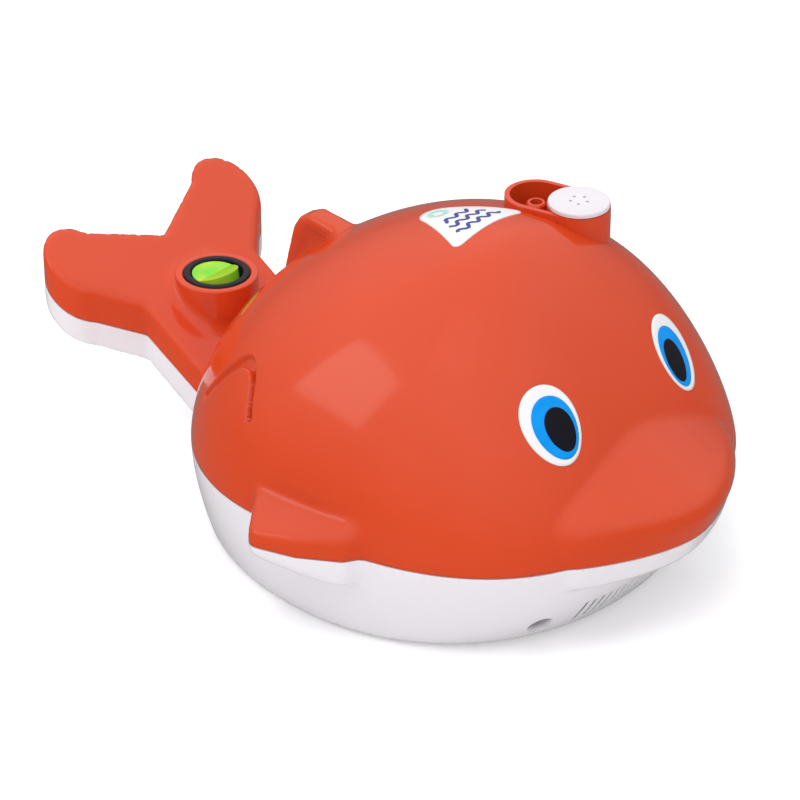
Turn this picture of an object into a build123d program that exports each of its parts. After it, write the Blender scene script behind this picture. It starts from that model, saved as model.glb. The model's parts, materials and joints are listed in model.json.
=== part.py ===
"""Tabletop compressor nebulizer in the shape of a whale.

Frame: +Z up, the nose points to -Y and the tail to +Y, the whale's right flank is -X.
The origin lies on the table, under the middle of the whole outline. Millimetres.

A hollow moulded case (top shell over base shell) holds a shaded-pole motor. The motor
turns a fan towards the nose and a crank disc towards the tail. The piston runs along X in
a horizontal cylinder, and its air goes through a hose to the outlet nozzle in the turret.
"""
import os
from math import atan2, copysign, cos, degrees, hypot, pi, radians, sin, sqrt

from build123d import *

os.makedirs("parts", exist_ok=True)

# ---------------------------------------------------------------- driving dimensions
WALL = 2.6                      # case wall
BASE_Z = 1.0                    # underside of the base, lifted by the feet
FLOOR_Z = BASE_Z + WALL         # inner floor
PARTING_Z = 36.0                # where the two shells meet around the body
DOME_TOP = 116.7

# Body outline at the parting plane and at the underside
BODY_SIDE = 83.0
BODY_FRONT = 100.4
BODY_REAR = 72.4
BODY_MIDDLE_Y = -10.9
BASE_SIDE = 75.0
BASE_FRONT = 70.8
BASE_REAR = 88.0
BASE_MIDDLE_Y = -23.6
DOME_LEAN = 30.5                # how far the dome's top leans towards the nose
STATIONS = [BASE_Z, 8, 16, 26, PARTING_Z, 46, 58, 70, 81, 91, 100, 107, 112.5, 115.8]

# Snout: a bill with a rising top, a ridge and a front that leans in towards the jaw
SNOUT_BOW = 0.0145              # the ridge steps back with the square of x
SNOUT_STATIONS = [-48, -36, -24, -12, 0, 12, 24, 36, 48]
RIDGE_Y = -129.9                # before the ridge is rounded
RIDGE_Z = 49.5
SNOUT_RISE = 0.54               # slope of the top
SNOUT_LEAN = 0.40               # slope of the front
JAW_Z = 24.5
SNOUT_REAR_Y = -70.0            # inside the dome

# Tail: a slab that rises to the rear and ends in two flukes
TAIL_SLOPE = 0.61
TAIL_TOP_Z = 62.0               # top of the slab at TAIL_REF_Y
TAIL_REF_Y = 114.0
TAIL_THICK = 23.3
STEM_HALF = 27.4
STEM_END_Y = 93.5
FLUKE_X = 35.8
FLUKE_Y = 116.3
FLUKE_R = 12.2
NOTCH_Y = 112.0
TAIL_START_Y = 30.0

# Pectoral fins
FIN_ROOT_X = 66.0
FIN_BOTTOM = 26.0
FIN_EDGE_TOP = 40.5
FIN_ROOT_TOP = 47.0

# Eye patches and label, thin skins on the dome
EYE_CENTRE = (30.5, -87.8, 77.0)
EYE_NORMAL = (0.25, -0.78, 0.57)
EYE_RADII = (11.5, 14.0)
SKIN = 0.35
LABEL_FRONT = 16.5              # half of the label's front edge
LABEL_Y = (-36.5, -1.0)

# Dorsal fin
DORSAL_THICK = 9.0
DORSAL_PANEL = 1.0              # depth of the recess on each side

# Turret: rear well with the air outlet, front socket with the intake filter
WELL_XY = (26.9, -32.8)
SOCKET_XY = (30.1, -47.8)
TURRET_R = 10.3
TURRET_TOP = 115.0
TURRET_INNER_R = 8.6
TURRET_FLOOR = 102.5
TURRET_UNDER = 99.6
NOZZLE_R = 3.25
NOZZLE_BORE_R = 2.0
NOZZLE_TOP = 112.2
NOZZLE_FOOT = 92.0
CAP_R = 10.05
CAP_TOP = 116.8
CAP_SKIRT_R = 8.3
CAP_GAP = 0.3
FELT_R = 6.9

# Switch boss on the tail
BOSS_Y = 86.2
BOSS_R = 14.4
BOSS_TOP = 54.0
BEZEL_R = 11.5
BEZEL_SEAT = 52.2
PANEL_HOLE_R = 10.0
SWITCH_R = 9.9
SWITCH_WELL_R = 9.0
SWITCH_BOTTOM = 38.0
ROCKER_R = 8.0
ROCKER_PIVOT_Z = 49.5
ROCKER_TILT = 9.0
PIVOT_R = 1.0
PIVOT_RUN = 0.05

# Motor and pump on one shaft along Y
SHAFT_Z = 40.0
SHAFT_R = 3.0
SHAFT_Y = (-77.0, 8.8)
RUN = 0.03                      # running clearance of the shaft in its bushes
STACK_Y = (-46.0, -18.0)        # lamination stack
STACK_X = (-52.0, 24.0)
STACK_Z = (16.0, 64.0)
STATOR_BORE_R = 15.3
ROTOR_R = 14.9
COIL_LIMB = 14.0                # width of the limb that carries the coil
BUSH_R = 6.0
BRACKET_THICK = 3.0
FRONT_BRACKET_Y = -54.0
REAR_BRACKET_Y = -13.0
FAN_Y = (-76.0, -63.0)
FAN_R = 26.0
DISC_R = 12.0
DISC_Y = (2.0, 9.0)

ROD_Y = 15.0                    # plane of the connecting rod and the cylinder
CRANK_THROW = 6.0
ROD_LENGTH = 30.0
CRANK_PIN_R = 2.5
WRIST_PIN_R = 2.0
PISTON_R = 9.9
CYLINDER_BORE_R = 10.0
CYLINDER_R = 13.0
CYLINDER_X = (16.0, 43.0)
HEAD_X = (45.0, 54.0)
HEAD_HALF = 13.0
WRIST_X = ROD_LENGTH - CRANK_THROW

CHASSIS_Z = 12.0
CHASSIS_THICK = 2.0
MOUNT_XY = [(-42, -40), (42, -40), (-42, 19), (42, 19)]

SCREW_XY = [(-54, -66), (54, -66), (-62, 6), (62, 6)]
SCREW_BOSS_R = 4.5
SCREW_R = 1.5
SCREW_HEAD_R = 2.9
SCREW_HEAD_Z = 27.0
SCREW_TIP_Z = 50.0
FOOT_XY = [(-42, -70), (42, -70), (-44, 30), (44, 30)]
FOOT_R = 7.0

# Mains inlet in the left flank, facing +X
INLET_FACE = (79.0, -12.0, 15.5)
INLET_SIZE = (22.0, 12.0)
INLET_DEPTH = 13.0

VENT_COUNT = 17
VENT_PITCH = 3.4
HOLE_XY = (-39.0, -92.0)        # round blind hole under the jaw
HOLE_Z = 8.5
HOLE_R = 4.25
HOLE_ANGLE = -116.3
HOSE_R = 3.0
HOSE_BORE_R = 2.2
WIRE_R = 1.0


# ---------------------------------------------------------------- body form
def body_section(z):
    """Side, front and rear half-lengths, middle and front roundness of the body at z."""
    if z >= PARTING_Z:
        up = (z - PARTING_Z) / (DOME_TOP - PARTING_Z)
        side = BODY_SIDE * (1 - up**1.74) ** (1 / 1.74)
        front = BODY_FRONT * (1 - up**1.4) ** (1 / 1.4)
        rear = BODY_REAR * (1 - up**2.07) ** (1 / 2.07)
        return side, front, rear, BODY_MIDDLE_Y - 3.2 * up - DOME_LEAN * up**2, 2.6
    down = ((PARTING_Z - z) / PARTING_Z) ** 1.6
    side = BODY_SIDE + (BASE_SIDE - BODY_SIDE) * down
    front = BODY_FRONT + (BASE_FRONT - BODY_FRONT) * down
    rear = BODY_REAR + (BASE_REAR - BODY_REAR) * down
    middle = BODY_MIDDLE_Y + (BASE_MIDDLE_Y - BODY_MIDDLE_Y) * down
    return side, front, rear, middle, 2.6 - 0.5 * down


def egg_points(z, inset, count=28):
    """Points of the closed body outline at height z, moved in by inset all round."""
    up = max(0.0, (z - PARTING_Z) / (DOME_TOP - PARTING_Z))
    side, front, rear, middle, front_power = body_section(z + inset * up)
    shrink = inset * sqrt(1 - up * up)
    points = []
    for step in range(count):
        c = cos(2 * pi * step / count)
        s = sin(2 * pi * step / count)
        power = front_power if s < 0 else 2.05
        length = front if s < 0 else rear
        x = (side - shrink) * copysign(abs(c) ** (2 / power), c)
        y = middle + (length - shrink) * copysign(abs(s) ** (2 / power), s)
        points.append((x, y))
    return points


def egg_loft(stations, inset=0.0):
    """Solid through the body outlines at the given heights."""
    with BuildPart() as form:
        for z in stations:
            with BuildSketch(Plane.XY.offset(z)):
                with BuildLine():
                    Spline(*egg_points(z, inset), periodic=True)
                make_face()
        loft()
    return form.part


def snout_form(inset=0.0):
    """Solid through upright sections of the snout; the inset makes its hollow."""
    into = 1.35 * inset         # the sections stand askew to the wall
    forward = into * (1 + SNOUT_LEAN) / (1 + SNOUT_LEAN * SNOUT_RISE)
    ridge_z = RIDGE_Z + SNOUT_RISE * forward - into
    jaw_z = JAW_Z + inset
    with BuildPart() as form:
        for x in SNOUT_STATIONS:
            ridge_y = RIDGE_Y + forward + SNOUT_BOW * x**2
            jaw_y = ridge_y + SNOUT_LEAN * (ridge_z - jaw_z)
            rear_z = ridge_z + SNOUT_RISE * (SNOUT_REAR_Y - ridge_y)
            with BuildSketch(Plane.YZ.offset(x)):
                with BuildLine():
                    FilletPolyline(
                        (SNOUT_REAR_Y, jaw_z), (jaw_y, jaw_z), (ridge_y, ridge_z),
                        (SNOUT_REAR_Y, rear_z), radius=(3 - inset / 2, 6 - inset),
                    )
                    Line((SNOUT_REAR_Y, rear_z), (SNOUT_REAR_Y, jaw_z))
                make_face()
        loft()
    return form.part


def tail_top(y):
    return TAIL_TOP_Z + TAIL_SLOPE * (y - TAIL_REF_Y)


def tail_slab(margin=0.0):
    """Tail in plan, cut between two rising planes; the margin makes its hollow."""
    half = STEM_HALF - margin
    shoulder = FLUKE_R * 0.71 - margin
    first_y, last_y = TAIL_START_Y, FLUKE_Y + FLUKE_R + 2
    under = TAIL_THICK - margin
    knee_y = 62.0
    with BuildPart() as slab:
        with BuildSketch(Plane.XY):
            with BuildLine():
                Polyline(
                    (-half, TAIL_START_Y), (half, TAIL_START_Y), (half, STEM_END_Y),
                    (FLUKE_X + shoulder, FLUKE_Y - shoulder), (FLUKE_X, FLUKE_Y + FLUKE_R - margin),
                    (0, NOTCH_Y - margin), (-FLUKE_X, FLUKE_Y + FLUKE_R - margin),
                    (-FLUKE_X - shoulder, FLUKE_Y - shoulder), (-half, STEM_END_Y), close=True,
                )
            make_face()
            with Locations((-FLUKE_X, FLUKE_Y), (FLUKE_X, FLUKE_Y)):
                Circle(FLUKE_R - margin)
        extrude(amount=90)
        with BuildSketch(Plane.YZ):
            with BuildLine():
                Polyline(
                    (first_y, FLOOR_Z), (first_y, tail_top(first_y) - margin),
                    (last_y, tail_top(last_y) - margin), (last_y, tail_top(last_y) - under),
                    (knee_y, tail_top(knee_y) - under), (knee_y - 6, FLOOR_Z), close=True,
                )
            make_face()
        extrude(amount=60, both=True, mode=Mode.INTERSECT)
    return slab.part


def pectoral_fin(side):
    """Thick swept plate at the flank; its top falls away from the body."""
    with BuildPart() as fin:
        with BuildSketch(Plane.XY.offset(FIN_BOTTOM)):
            with BuildLine():
                FilletPolyline(
                    (side * 80, -10.2), (side * 98.2, -21.2), (side * 92.5, -37.0),
                    (side * 84.8, -50.0), (side * 74, -55.6), radius=(3.5, 20, 7),
                )
                Polyline(
                    (side * 74, -55.6), (side * FIN_ROOT_X, -55.6),
                    (side * FIN_ROOT_X, -10.2), (side * 80, -10.2),
                )
            make_face()
        extrude(amount=FIN_ROOT_TOP - FIN_BOTTOM)
        with BuildSketch(Plane.XZ):
            with BuildLine():
                Polyline(
                    (side * 60, FIN_BOTTOM), (side * 88, FIN_BOTTOM), (side * 99, 33),
                    (side * 99, FIN_EDGE_TOP), (side * 79, FIN_ROOT_TOP),
                    (side * 60, FIN_ROOT_TOP), close=True,
                )
            make_face()
        extrude(amount=70, both=True, mode=Mode.INTERSECT)
    return fin.part


def turret_outline(radius):
    """Stadium around the well and the socket."""
    reach = (SOCKET_XY[0] - WELL_XY[0], SOCKET_XY[1] - WELL_XY[1])
    turn = degrees(atan2(reach[1], reach[0]))
    middle = ((WELL_XY[0] + SOCKET_XY[0]) / 2, (WELL_XY[1] + SOCKET_XY[1]) / 2)
    with BuildSketch() as outline:
        with Locations(Location((*middle, 0), (0, 0, turn))):
            SlotCenterToCenter(hypot(*reach), 2 * radius)
    return outline.sketch


def column(xy, radius, z0, z1):
    """Upright round bar."""
    return Pos(xy[0], xy[1], (z0 + z1) / 2) * Cylinder(radius, z1 - z0)


def along_x(x0, x1, y, z, radius):
    """Round bar parallel to X."""
    return Pos((x0 + x1) / 2, y, z) * Rot(0, 90, 0) * Cylinder(radius, x1 - x0)


def along_y(y0, y1, x, z, radius):
    """Round bar parallel to Y."""
    return Pos(x, (y0 + y1) / 2, z) * Rot(90, 0, 0) * Cylinder(radius, y1 - y0)


def block(x0, x1, y0, y1, z0, z1):
    """Box between two corners."""
    return Pos((x0 + x1) / 2, (y0 + y1) / 2, (z0 + z1) / 2) * Box(x1 - x0, y1 - y0, z1 - z0)


dome = egg_loft(STATIONS)
inner_stations = [FLOOR_Z, 8, 16, 26, PARTING_Z, 46, 58, 70, 81, 91, 100, 107, 112.4]
hollow = egg_loft(inner_stations, inset=WALL)

with BuildPart() as dorsal_fin:
    with BuildSketch(Plane.YZ.offset(-DORSAL_THICK / 2)):
        with BuildLine():
            FilletPolyline(
                (0, 60), (0, 91.5), (22, 92.9), (40.6, 94.9), (47.0, 86.5), (52.6, 60),
                radius=(0.5, 6, 3.5, 10),
            )
            Line((52.6, 60), (0, 60))
        make_face()
    extrude(amount=DORSAL_THICK)
    for side in (-1, 1):
        with BuildSketch(Plane.YZ.offset(side * (DORSAL_THICK / 2 - DORSAL_PANEL / 2))):
            with BuildLine():
                FilletPolyline((30, 88), (41, 90.5), (46, 70), radius=1.5, close=True)
            make_face()
        extrude(amount=DORSAL_PANEL / 2, both=True, mode=Mode.SUBTRACT)

outer_form = dome + snout_form()
outer_form += tail_slab()
outer_form += pectoral_fin(-1)
outer_form += pectoral_fin(1)
outer_form += dorsal_fin.part
outer_form += column((0, BOSS_Y), BOSS_R, 30, BOSS_TOP)

cavity = hollow + snout_form(WALL)
cavity += tail_slab(margin=WALL)
cavity += column((0, BOSS_Y), BOSS_R - WALL, 32, BOSS_TOP - 2 * WALL)

# The wavy parting surface: flat round the body, rising along the tail
with BuildPart() as above_parting:
    with BuildSketch(Plane.YZ):
        with BuildLine():
            Polyline(
                (-150, PARTING_Z), (50, PARTING_Z), (60, 18.5), (72, 25.5), (140, 64.5),
                (140, 160), (-150, 160), close=True,
            )
        make_face()
    extrude(amount=120, both=True)

# ---------------------------------------------------------------- top shell
with BuildPart() as top_posts:
    with BuildSketch(Plane.XY.offset(PARTING_Z)):
        with Locations(*SCREW_XY):
            Circle(SCREW_BOSS_R)
    extrude(amount=65)
    add(dome, mode=Mode.INTERSECT)

arch_path = Spline(
    (-63.6, 28.5, 55.4), (-61.8, 20.5, 66.7), (-60.9, 12.8, 73.4), (-65.0, 5.7, 72.6),
    (-73.8, -0.2, 63.2),
)
with BuildPart() as arch_groove:
    with BuildSketch(Plane(origin=arch_path @ 0, z_dir=arch_path % 0)):
        Circle(1.4)
    sweep(path=arch_path)

with BuildPart() as top_shell:
    add(outer_form)
    add(above_parting.part, mode=Mode.INTERSECT)
    add(cavity, mode=Mode.SUBTRACT)
    add(top_posts.part)
    add(arch_groove.part, mode=Mode.SUBTRACT)
    with BuildSketch(Plane.XY.offset(PARTING_Z)):
        with Locations(*SCREW_XY):
            Circle(SCREW_R)
    extrude(amount=SCREW_TIP_Z + 1 - PARTING_Z, mode=Mode.SUBTRACT)
    with BuildSketch(Plane.XY.offset(TURRET_UNDER)):
        add(turret_outline(TURRET_R))
    extrude(amount=20, mode=Mode.SUBTRACT)
    # seat and panel hole of the switch
    with BuildSketch(Plane.XY.offset(BEZEL_SEAT)):
        with Locations((0, BOSS_Y)):
            Circle(BEZEL_R)
    extrude(amount=5, mode=Mode.SUBTRACT)
    with BuildSketch(Plane.XY.offset(40)):
        with Locations((0, BOSS_Y)):
            Circle(PANEL_HOLE_R)
    extrude(amount=20, mode=Mode.SUBTRACT)
top_shell.part.label = "top_shell"
export_step(top_shell.part, "parts/top_shell.step")

# ---------------------------------------------------------------- base shell
hole_plane = Plane(
    origin=(*HOLE_XY, HOLE_Z),
    z_dir=(cos(radians(HOLE_ANGLE)), sin(radians(HOLE_ANGLE)), 0),
)
inlet_plane = Plane(origin=INLET_FACE, x_dir=(0, 1, 0), z_dir=(1, 0, 0))
with BuildPart() as base_posts:
    with BuildSketch(Plane.XY.offset(BASE_Z)):
        with Locations(*SCREW_XY):
            Circle(SCREW_BOSS_R)
    extrude(amount=PARTING_Z - BASE_Z)
    with BuildSketch(hole_plane):
        Circle(HOLE_R + 2.2)
    extrude(amount=8, both=True)
    add(dome, mode=Mode.INTERSECT)

with BuildPart() as base_shell:
    add(outer_form)
    add(above_parting.part, mode=Mode.SUBTRACT)
    add(cavity, mode=Mode.SUBTRACT)
    add(base_posts.part)
    with BuildSketch(Plane.XY.offset(BASE_Z)):
        with Locations(*SCREW_XY):
            Circle(SCREW_R + 0.2)
    extrude(amount=PARTING_Z, mode=Mode.SUBTRACT)
    with BuildSketch(Plane.XY.offset(BASE_Z)):
        with Locations(*SCREW_XY):
            Circle(SCREW_HEAD_R + 0.2)
    extrude(amount=SCREW_HEAD_Z - BASE_Z, mode=Mode.SUBTRACT)
    # air slots under the jaw
    with BuildSketch(Plane.XZ.offset(92)):
        for slot in range(VENT_COUNT):
            across = (slot - (VENT_COUNT - 1) / 2) * VENT_PITCH
            with Locations(Location((across, 10 + abs(across) * -0.06, 0), (0, 0, 62))):
                SlotOverall(9.5, 1.7)
    extrude(amount=25, mode=Mode.SUBTRACT)
    # warm air leaves through the floor
    with BuildSketch(Plane.XY):
        with GridLocations(0, 8, 1, 5):
            SlotOverall(40, 3)
    extrude(amount=FLOOR_Z + 1, mode=Mode.SUBTRACT)
    with BuildSketch(Plane.XY.offset(BASE_Z)):
        with Locations(*FOOT_XY):
            Circle(FOOT_R)
    extrude(amount=1, mode=Mode.SUBTRACT)
    with BuildSketch(hole_plane):
        Circle(HOLE_R)
    extrude(amount=6, both=True, mode=Mode.SUBTRACT)
    with BuildSketch(inlet_plane):
        Rectangle(*INLET_SIZE)
    extrude(amount=8, both=True, mode=Mode.SUBTRACT)
base_shell.part.label = "base_shell"
export_step(base_shell.part, "parts/base_shell.step")

# ---------------------------------------------------------------- case fittings
with BuildPart() as rubber_feet:
    with BuildSketch(Plane.XY):
        with Locations(*FOOT_XY):
            Circle(FOOT_R)
    extrude(amount=BASE_Z + 1)
    chamfer(rubber_feet.edges().group_by(Axis.Z)[0], 0.5)
rubber_feet.part.label = "rubber_feet"
export_step(rubber_feet.part, "parts/rubber_feet.step")

with BuildPart() as case_screws:
    for spot in SCREW_XY:
        with BuildSketch(Plane.XY.offset(SCREW_HEAD_Z)):
            with Locations(spot):
                Circle(SCREW_R)
        extrude(amount=SCREW_TIP_Z - SCREW_HEAD_Z)
        with BuildSketch(Plane.XY.offset(SCREW_HEAD_Z)):
            with Locations(spot):
                Circle(SCREW_HEAD_R)
        extrude(amount=-2.2)
        with BuildSketch(Plane.XY.offset(SCREW_HEAD_Z - 2.2)):
            with Locations(spot):
                Rectangle(3.4, 0.8)
                Rectangle(0.8, 3.4)
        extrude(amount=1.2, mode=Mode.SUBTRACT)
case_screws.part.label = "case_screws"
export_step(case_screws.part, "parts/case_screws.step")

for side, name in ((-1, "eye_right"), (1, "eye_left")):
    outward = Vector(side * EYE_NORMAL[0], EYE_NORMAL[1], EYE_NORMAL[2]).normalized()
    lifted = Pos(*(outward * SKIN)) * dome
    with BuildPart() as eye:
        with BuildSketch(Plane(
            origin=(side * EYE_CENTRE[0], EYE_CENTRE[1], EYE_CENTRE[2]),
            x_dir=(-outward.Y, outward.X, 0),
            z_dir=outward,
        )):
            Ellipse(*EYE_RADII)
        extrude(amount=8, both=True)
        add(lifted, mode=Mode.INTERSECT)
        add(dome, mode=Mode.SUBTRACT)
    eye.part.label = name
    export_step(eye.part, "parts/" + name + ".step")

raised = Pos(0, 0, SKIN) * dome
with BuildPart() as label:
    with BuildSketch(Plane.XY.offset(95)):
        with BuildLine():
            FilletPolyline(
                (-LABEL_FRONT, LABEL_Y[0]), (LABEL_FRONT, LABEL_Y[0]), (0, LABEL_Y[1]),
                radius=2.5, close=True,
            )
        make_face()
    extrude(amount=30)
    add(raised, mode=Mode.INTERSECT)
    add(dome, mode=Mode.SUBTRACT)
label.part.label = "label"
export_step(label.part, "parts/label.step")

# ---------------------------------------------------------------- turret, filter cap, nozzle
with BuildPart() as turret:
    with BuildSketch(Plane.XY.offset(TURRET_UNDER)):
        add(turret_outline(TURRET_R))
        with Locations(SOCKET_XY):
            Circle(3.5, mode=Mode.SUBTRACT)
        with Locations(WELL_XY):
            Circle(NOZZLE_R, mode=Mode.SUBTRACT)
    extrude(amount=TURRET_TOP - TURRET_UNDER)
    # open well round the nozzle
    with BuildSketch(Plane.XY.offset(TURRET_FLOOR)):
        add(turret_outline(TURRET_INNER_R))
        with Locations(SOCKET_XY):
            Circle(TURRET_R, mode=Mode.SUBTRACT)
    extrude(amount=20, mode=Mode.SUBTRACT)
    # socket for the filter cap
    with BuildSketch(Plane.XY.offset(TURRET_FLOOR)):
        with Locations(SOCKET_XY):
            Circle(TURRET_INNER_R)
    extrude(amount=20, mode=Mode.SUBTRACT)
turret.part.label = "turret"
export_step(turret.part, "parts/turret.step")

with BuildPart() as filter_cap:
    with BuildSketch(Plane.XY.offset(TURRET_TOP + CAP_GAP)):
        with Locations(SOCKET_XY):
            Circle(CAP_R)
    extrude(amount=CAP_TOP - TURRET_TOP - CAP_GAP)
    fillet(filter_cap.edges().group_by(Axis.Z)[-1], 0.6)
    with BuildSketch(Plane.XY.offset(106)):
        with Locations(SOCKET_XY):
            Circle(CAP_SKIRT_R)
            Circle(FELT_R, mode=Mode.SUBTRACT)
    extrude(amount=TURRET_TOP + CAP_GAP - 106)
    with BuildSketch(Plane.XY.offset(TURRET_TOP)):
        with Locations(SOCKET_XY):
            with PolarLocations(2.8, 5):
                Circle(0.55)
    extrude(amount=5, mode=Mode.SUBTRACT)
filter_cap.part.label = "filter_cap"
export_step(filter_cap.part, "parts/filter_cap.step")

with BuildPart() as filter_felt:
    with BuildSketch(Plane.XY.offset(106.5)):
        with Locations(SOCKET_XY):
            Circle(FELT_R)
    extrude(amount=7)
filter_felt.part.label = "filter_felt"
export_step(filter_felt.part, "parts/filter_felt.step")

with BuildPart() as air_outlet:
    with BuildSketch(Plane.XY.offset(TURRET_UNDER)):
        with Locations(WELL_XY):
            Circle(NOZZLE_R)
    extrude(amount=NOZZLE_TOP - TURRET_UNDER)
    chamfer(air_outlet.edges().group_by(Axis.Z)[-1], 0.5)
    with BuildSketch(Plane.XY.offset(TURRET_UNDER)):
        with Locations(WELL_XY):
            Circle(4.6)
    extrude(amount=-2)
    with BuildSketch(Plane.XY.offset(NOZZLE_FOOT)):
        with Locations(WELL_XY):
            Circle(HOSE_R)
    extrude(amount=TURRET_UNDER - NOZZLE_FOOT)
    with BuildSketch(Plane.XY.offset(NOZZLE_FOOT)):
        with Locations(WELL_XY):
            Circle(NOZZLE_BORE_R)
    extrude(amount=30, mode=Mode.SUBTRACT)
air_outlet.part.label = "air_outlet"
export_step(air_outlet.part, "parts/air_outlet.step")

# ---------------------------------------------------------------- switch
with BuildPart() as switch_bezel:
    with BuildSketch(Plane.XY.offset(BEZEL_SEAT)):
        with Locations((0, BOSS_Y)):
            Circle(BEZEL_R)
            Circle(SWITCH_WELL_R, mode=Mode.SUBTRACT)
    extrude(amount=2.1)
    fillet(switch_bezel.edges().group_by(Axis.Z)[-1].sort_by(SortBy.RADIUS)[-1], 0.8)
switch_bezel.part.label = "switch_bezel"
export_step(switch_bezel.part, "parts/switch_bezel.step")

with BuildPart() as switch_body:
    with BuildSketch(Plane.XY.offset(SWITCH_BOTTOM)):
        with Locations((0, BOSS_Y)):
            Circle(SWITCH_R)
    extrude(amount=BEZEL_SEAT - SWITCH_BOTTOM)
    with BuildSketch(Plane.XY.offset(43)):
        with Locations((0, BOSS_Y)):
            Circle(SWITCH_WELL_R)
    extrude(amount=20, mode=Mode.SUBTRACT)
    with BuildSketch(Plane.YZ):
        with Locations((BOSS_Y, ROCKER_PIVOT_Z)):
            Circle(PIVOT_R + PIVOT_RUN)
    extrude(amount=30, both=True, mode=Mode.SUBTRACT)
switch_body.part.label = "switch_body"
export_step(switch_body.part, "parts/switch_body.step")

with BuildPart() as switch_terminals:
    for x in (-5, 5):
        with BuildSketch(Plane.XY.offset(SWITCH_BOTTOM)):
            with Locations((x, BOSS_Y)):
                Rectangle(0.8, 4.8)
        extrude(amount=-8)
switch_terminals.part.label = "switch_terminals"
export_step(switch_terminals.part, "parts/switch_terminals.step")

with BuildPart() as rocker:
    with BuildSketch(Plane.YZ.offset(-ROCKER_R)):
        with BuildLine():
            Polyline(
                (-ROCKER_R, -3.2), (-ROCKER_R, 5.4), (0, 3.9), (ROCKER_R, 5.4),
                (ROCKER_R, -3.2), close=True,
            )
        make_face()
    extrude(amount=2 * ROCKER_R)
    with BuildSketch(Plane.XY.offset(-10)):
        Circle(ROCKER_R)
    extrude(amount=20, mode=Mode.INTERSECT)
    with BuildSketch(Plane.YZ):
        Circle(PIVOT_R)
    extrude(amount=SWITCH_R - 0.1, both=True)
rocker_solid = Pos(0, BOSS_Y, ROCKER_PIVOT_Z) * Rot(-ROCKER_TILT, 0, 0) * rocker.part
rocker_solid.label = "rocker"
export_step(rocker_solid, "parts/rocker.step")

# ---------------------------------------------------------------- mains inlet
with BuildPart() as mains_inlet:
    with BuildSketch(inlet_plane):
        Rectangle(*INLET_SIZE)
    extrude(amount=-INLET_DEPTH)
    with BuildSketch(inlet_plane):
        SlotOverall(16, 8)
    extrude(amount=-10, mode=Mode.SUBTRACT)
mains_inlet.part.label = "mains_inlet"
export_step(mains_inlet.part, "parts/mains_inlet.step")

with BuildPart() as inlet_pins:
    for across in (-4, 4):
        with BuildSketch(inlet_plane.offset(-2)):
            with Locations((across, 0)):
                Circle(1.15)
        extrude(amount=-8)
        with BuildSketch(inlet_plane.offset(-INLET_DEPTH)):
            with Locations((across, 0)):
                Rectangle(0.8, 4)
        extrude(amount=-6)
inlet_pins.part.label = "inlet_pins"
export_step(inlet_pins.part, "parts/inlet_pins.step")

# ---------------------------------------------------------------- motor
stack_mid_y = (STACK_Y[0] + STACK_Y[1]) / 2
stack_depth = STACK_Y[1] - STACK_Y[0]
with BuildPart() as stator_core:
    with BuildSketch(Plane.XZ.offset(-STACK_Y[1])):
        with BuildLine():
            Polyline(
                (STACK_X[0], STACK_Z[0]), (STACK_X[1], STACK_Z[0]), (STACK_X[1], STACK_Z[1]),
                (STACK_X[0], STACK_Z[1]), close=True,
            )
        make_face()
        with Locations((0, SHAFT_Z)):
            Circle(STATOR_BORE_R, mode=Mode.SUBTRACT)
        with Locations(((STACK_X[0] + COIL_LIMB - 18) / 2 - 1, SHAFT_Z)):
            Rectangle(18, 26, mode=Mode.SUBTRACT)
        with Locations((0, SHAFT_Z)):
            Rectangle(44, 1.6, mode=Mode.SUBTRACT)
    extrude(amount=stack_depth)
stator_core.part.label = "stator_core"
export_step(stator_core.part, "parts/stator_core.step")

with BuildPart() as shading_rings:
    for up in (-1, 1):
        with BuildSketch(Plane.XZ.offset(-STACK_Y[1])):
            with Locations((up * 9, SHAFT_Z + up * 18.4)):
                Rectangle(6, 3)
        extrude(amount=-1.2)
        with BuildSketch(Plane.XZ.offset(-STACK_Y[0])):
            with Locations((up * 9, SHAFT_Z + up * 18.4)):
                Rectangle(6, 3)
        extrude(amount=1.2)
shading_rings.part.label = "shading_rings"
export_step(shading_rings.part, "parts/shading_rings.step")

limb_x = STACK_X[0] + COIL_LIMB / 2
with BuildPart() as coil_bobbin:
    with BuildSketch(Plane.XY.offset(SHAFT_Z - 13)):
        with Locations((limb_x, stack_mid_y)):
            Rectangle(COIL_LIMB + 3, stack_depth + 3)
            Rectangle(COIL_LIMB, stack_depth, mode=Mode.SUBTRACT)
    extrude(amount=26)
    for z in (SHAFT_Z - 13, SHAFT_Z + 11.5):
        with BuildSketch(Plane.XY.offset(z)):
            with Locations((limb_x, stack_mid_y)):
                RectangleRounded(COIL_LIMB + 19, stack_depth + 19, 3)
                Rectangle(COIL_LIMB, stack_depth, mode=Mode.SUBTRACT)
        extrude(amount=1.5)
coil_bobbin.part.label = "coil_bobbin"
export_step(coil_bobbin.part, "parts/coil_bobbin.step")

with BuildPart() as coil_winding:
    with BuildSketch(Plane.XY.offset(SHAFT_Z - 11.5)):
        with Locations((limb_x, stack_mid_y)):
            RectangleRounded(COIL_LIMB + 16, stack_depth + 16, 5)
            Rectangle(COIL_LIMB + 3, stack_depth + 3, mode=Mode.SUBTRACT)
    extrude(amount=23)
coil_winding.part.label = "coil_winding"
export_step(coil_winding.part, "parts/coil_winding.step")

coil_face_y = stack_mid_y + stack_depth / 2 + 9.5
with BuildPart() as coil_terminals:
    for x in (-50, -40):
        with BuildSketch(Plane.XZ.offset(-coil_face_y)):
            with Locations((x, SHAFT_Z + 12.3)):
                Rectangle(4, 0.8)
        extrude(amount=-6)
coil_terminals.part.label = "coil_terminals"
export_step(coil_terminals.part, "parts/coil_terminals.step")


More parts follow.
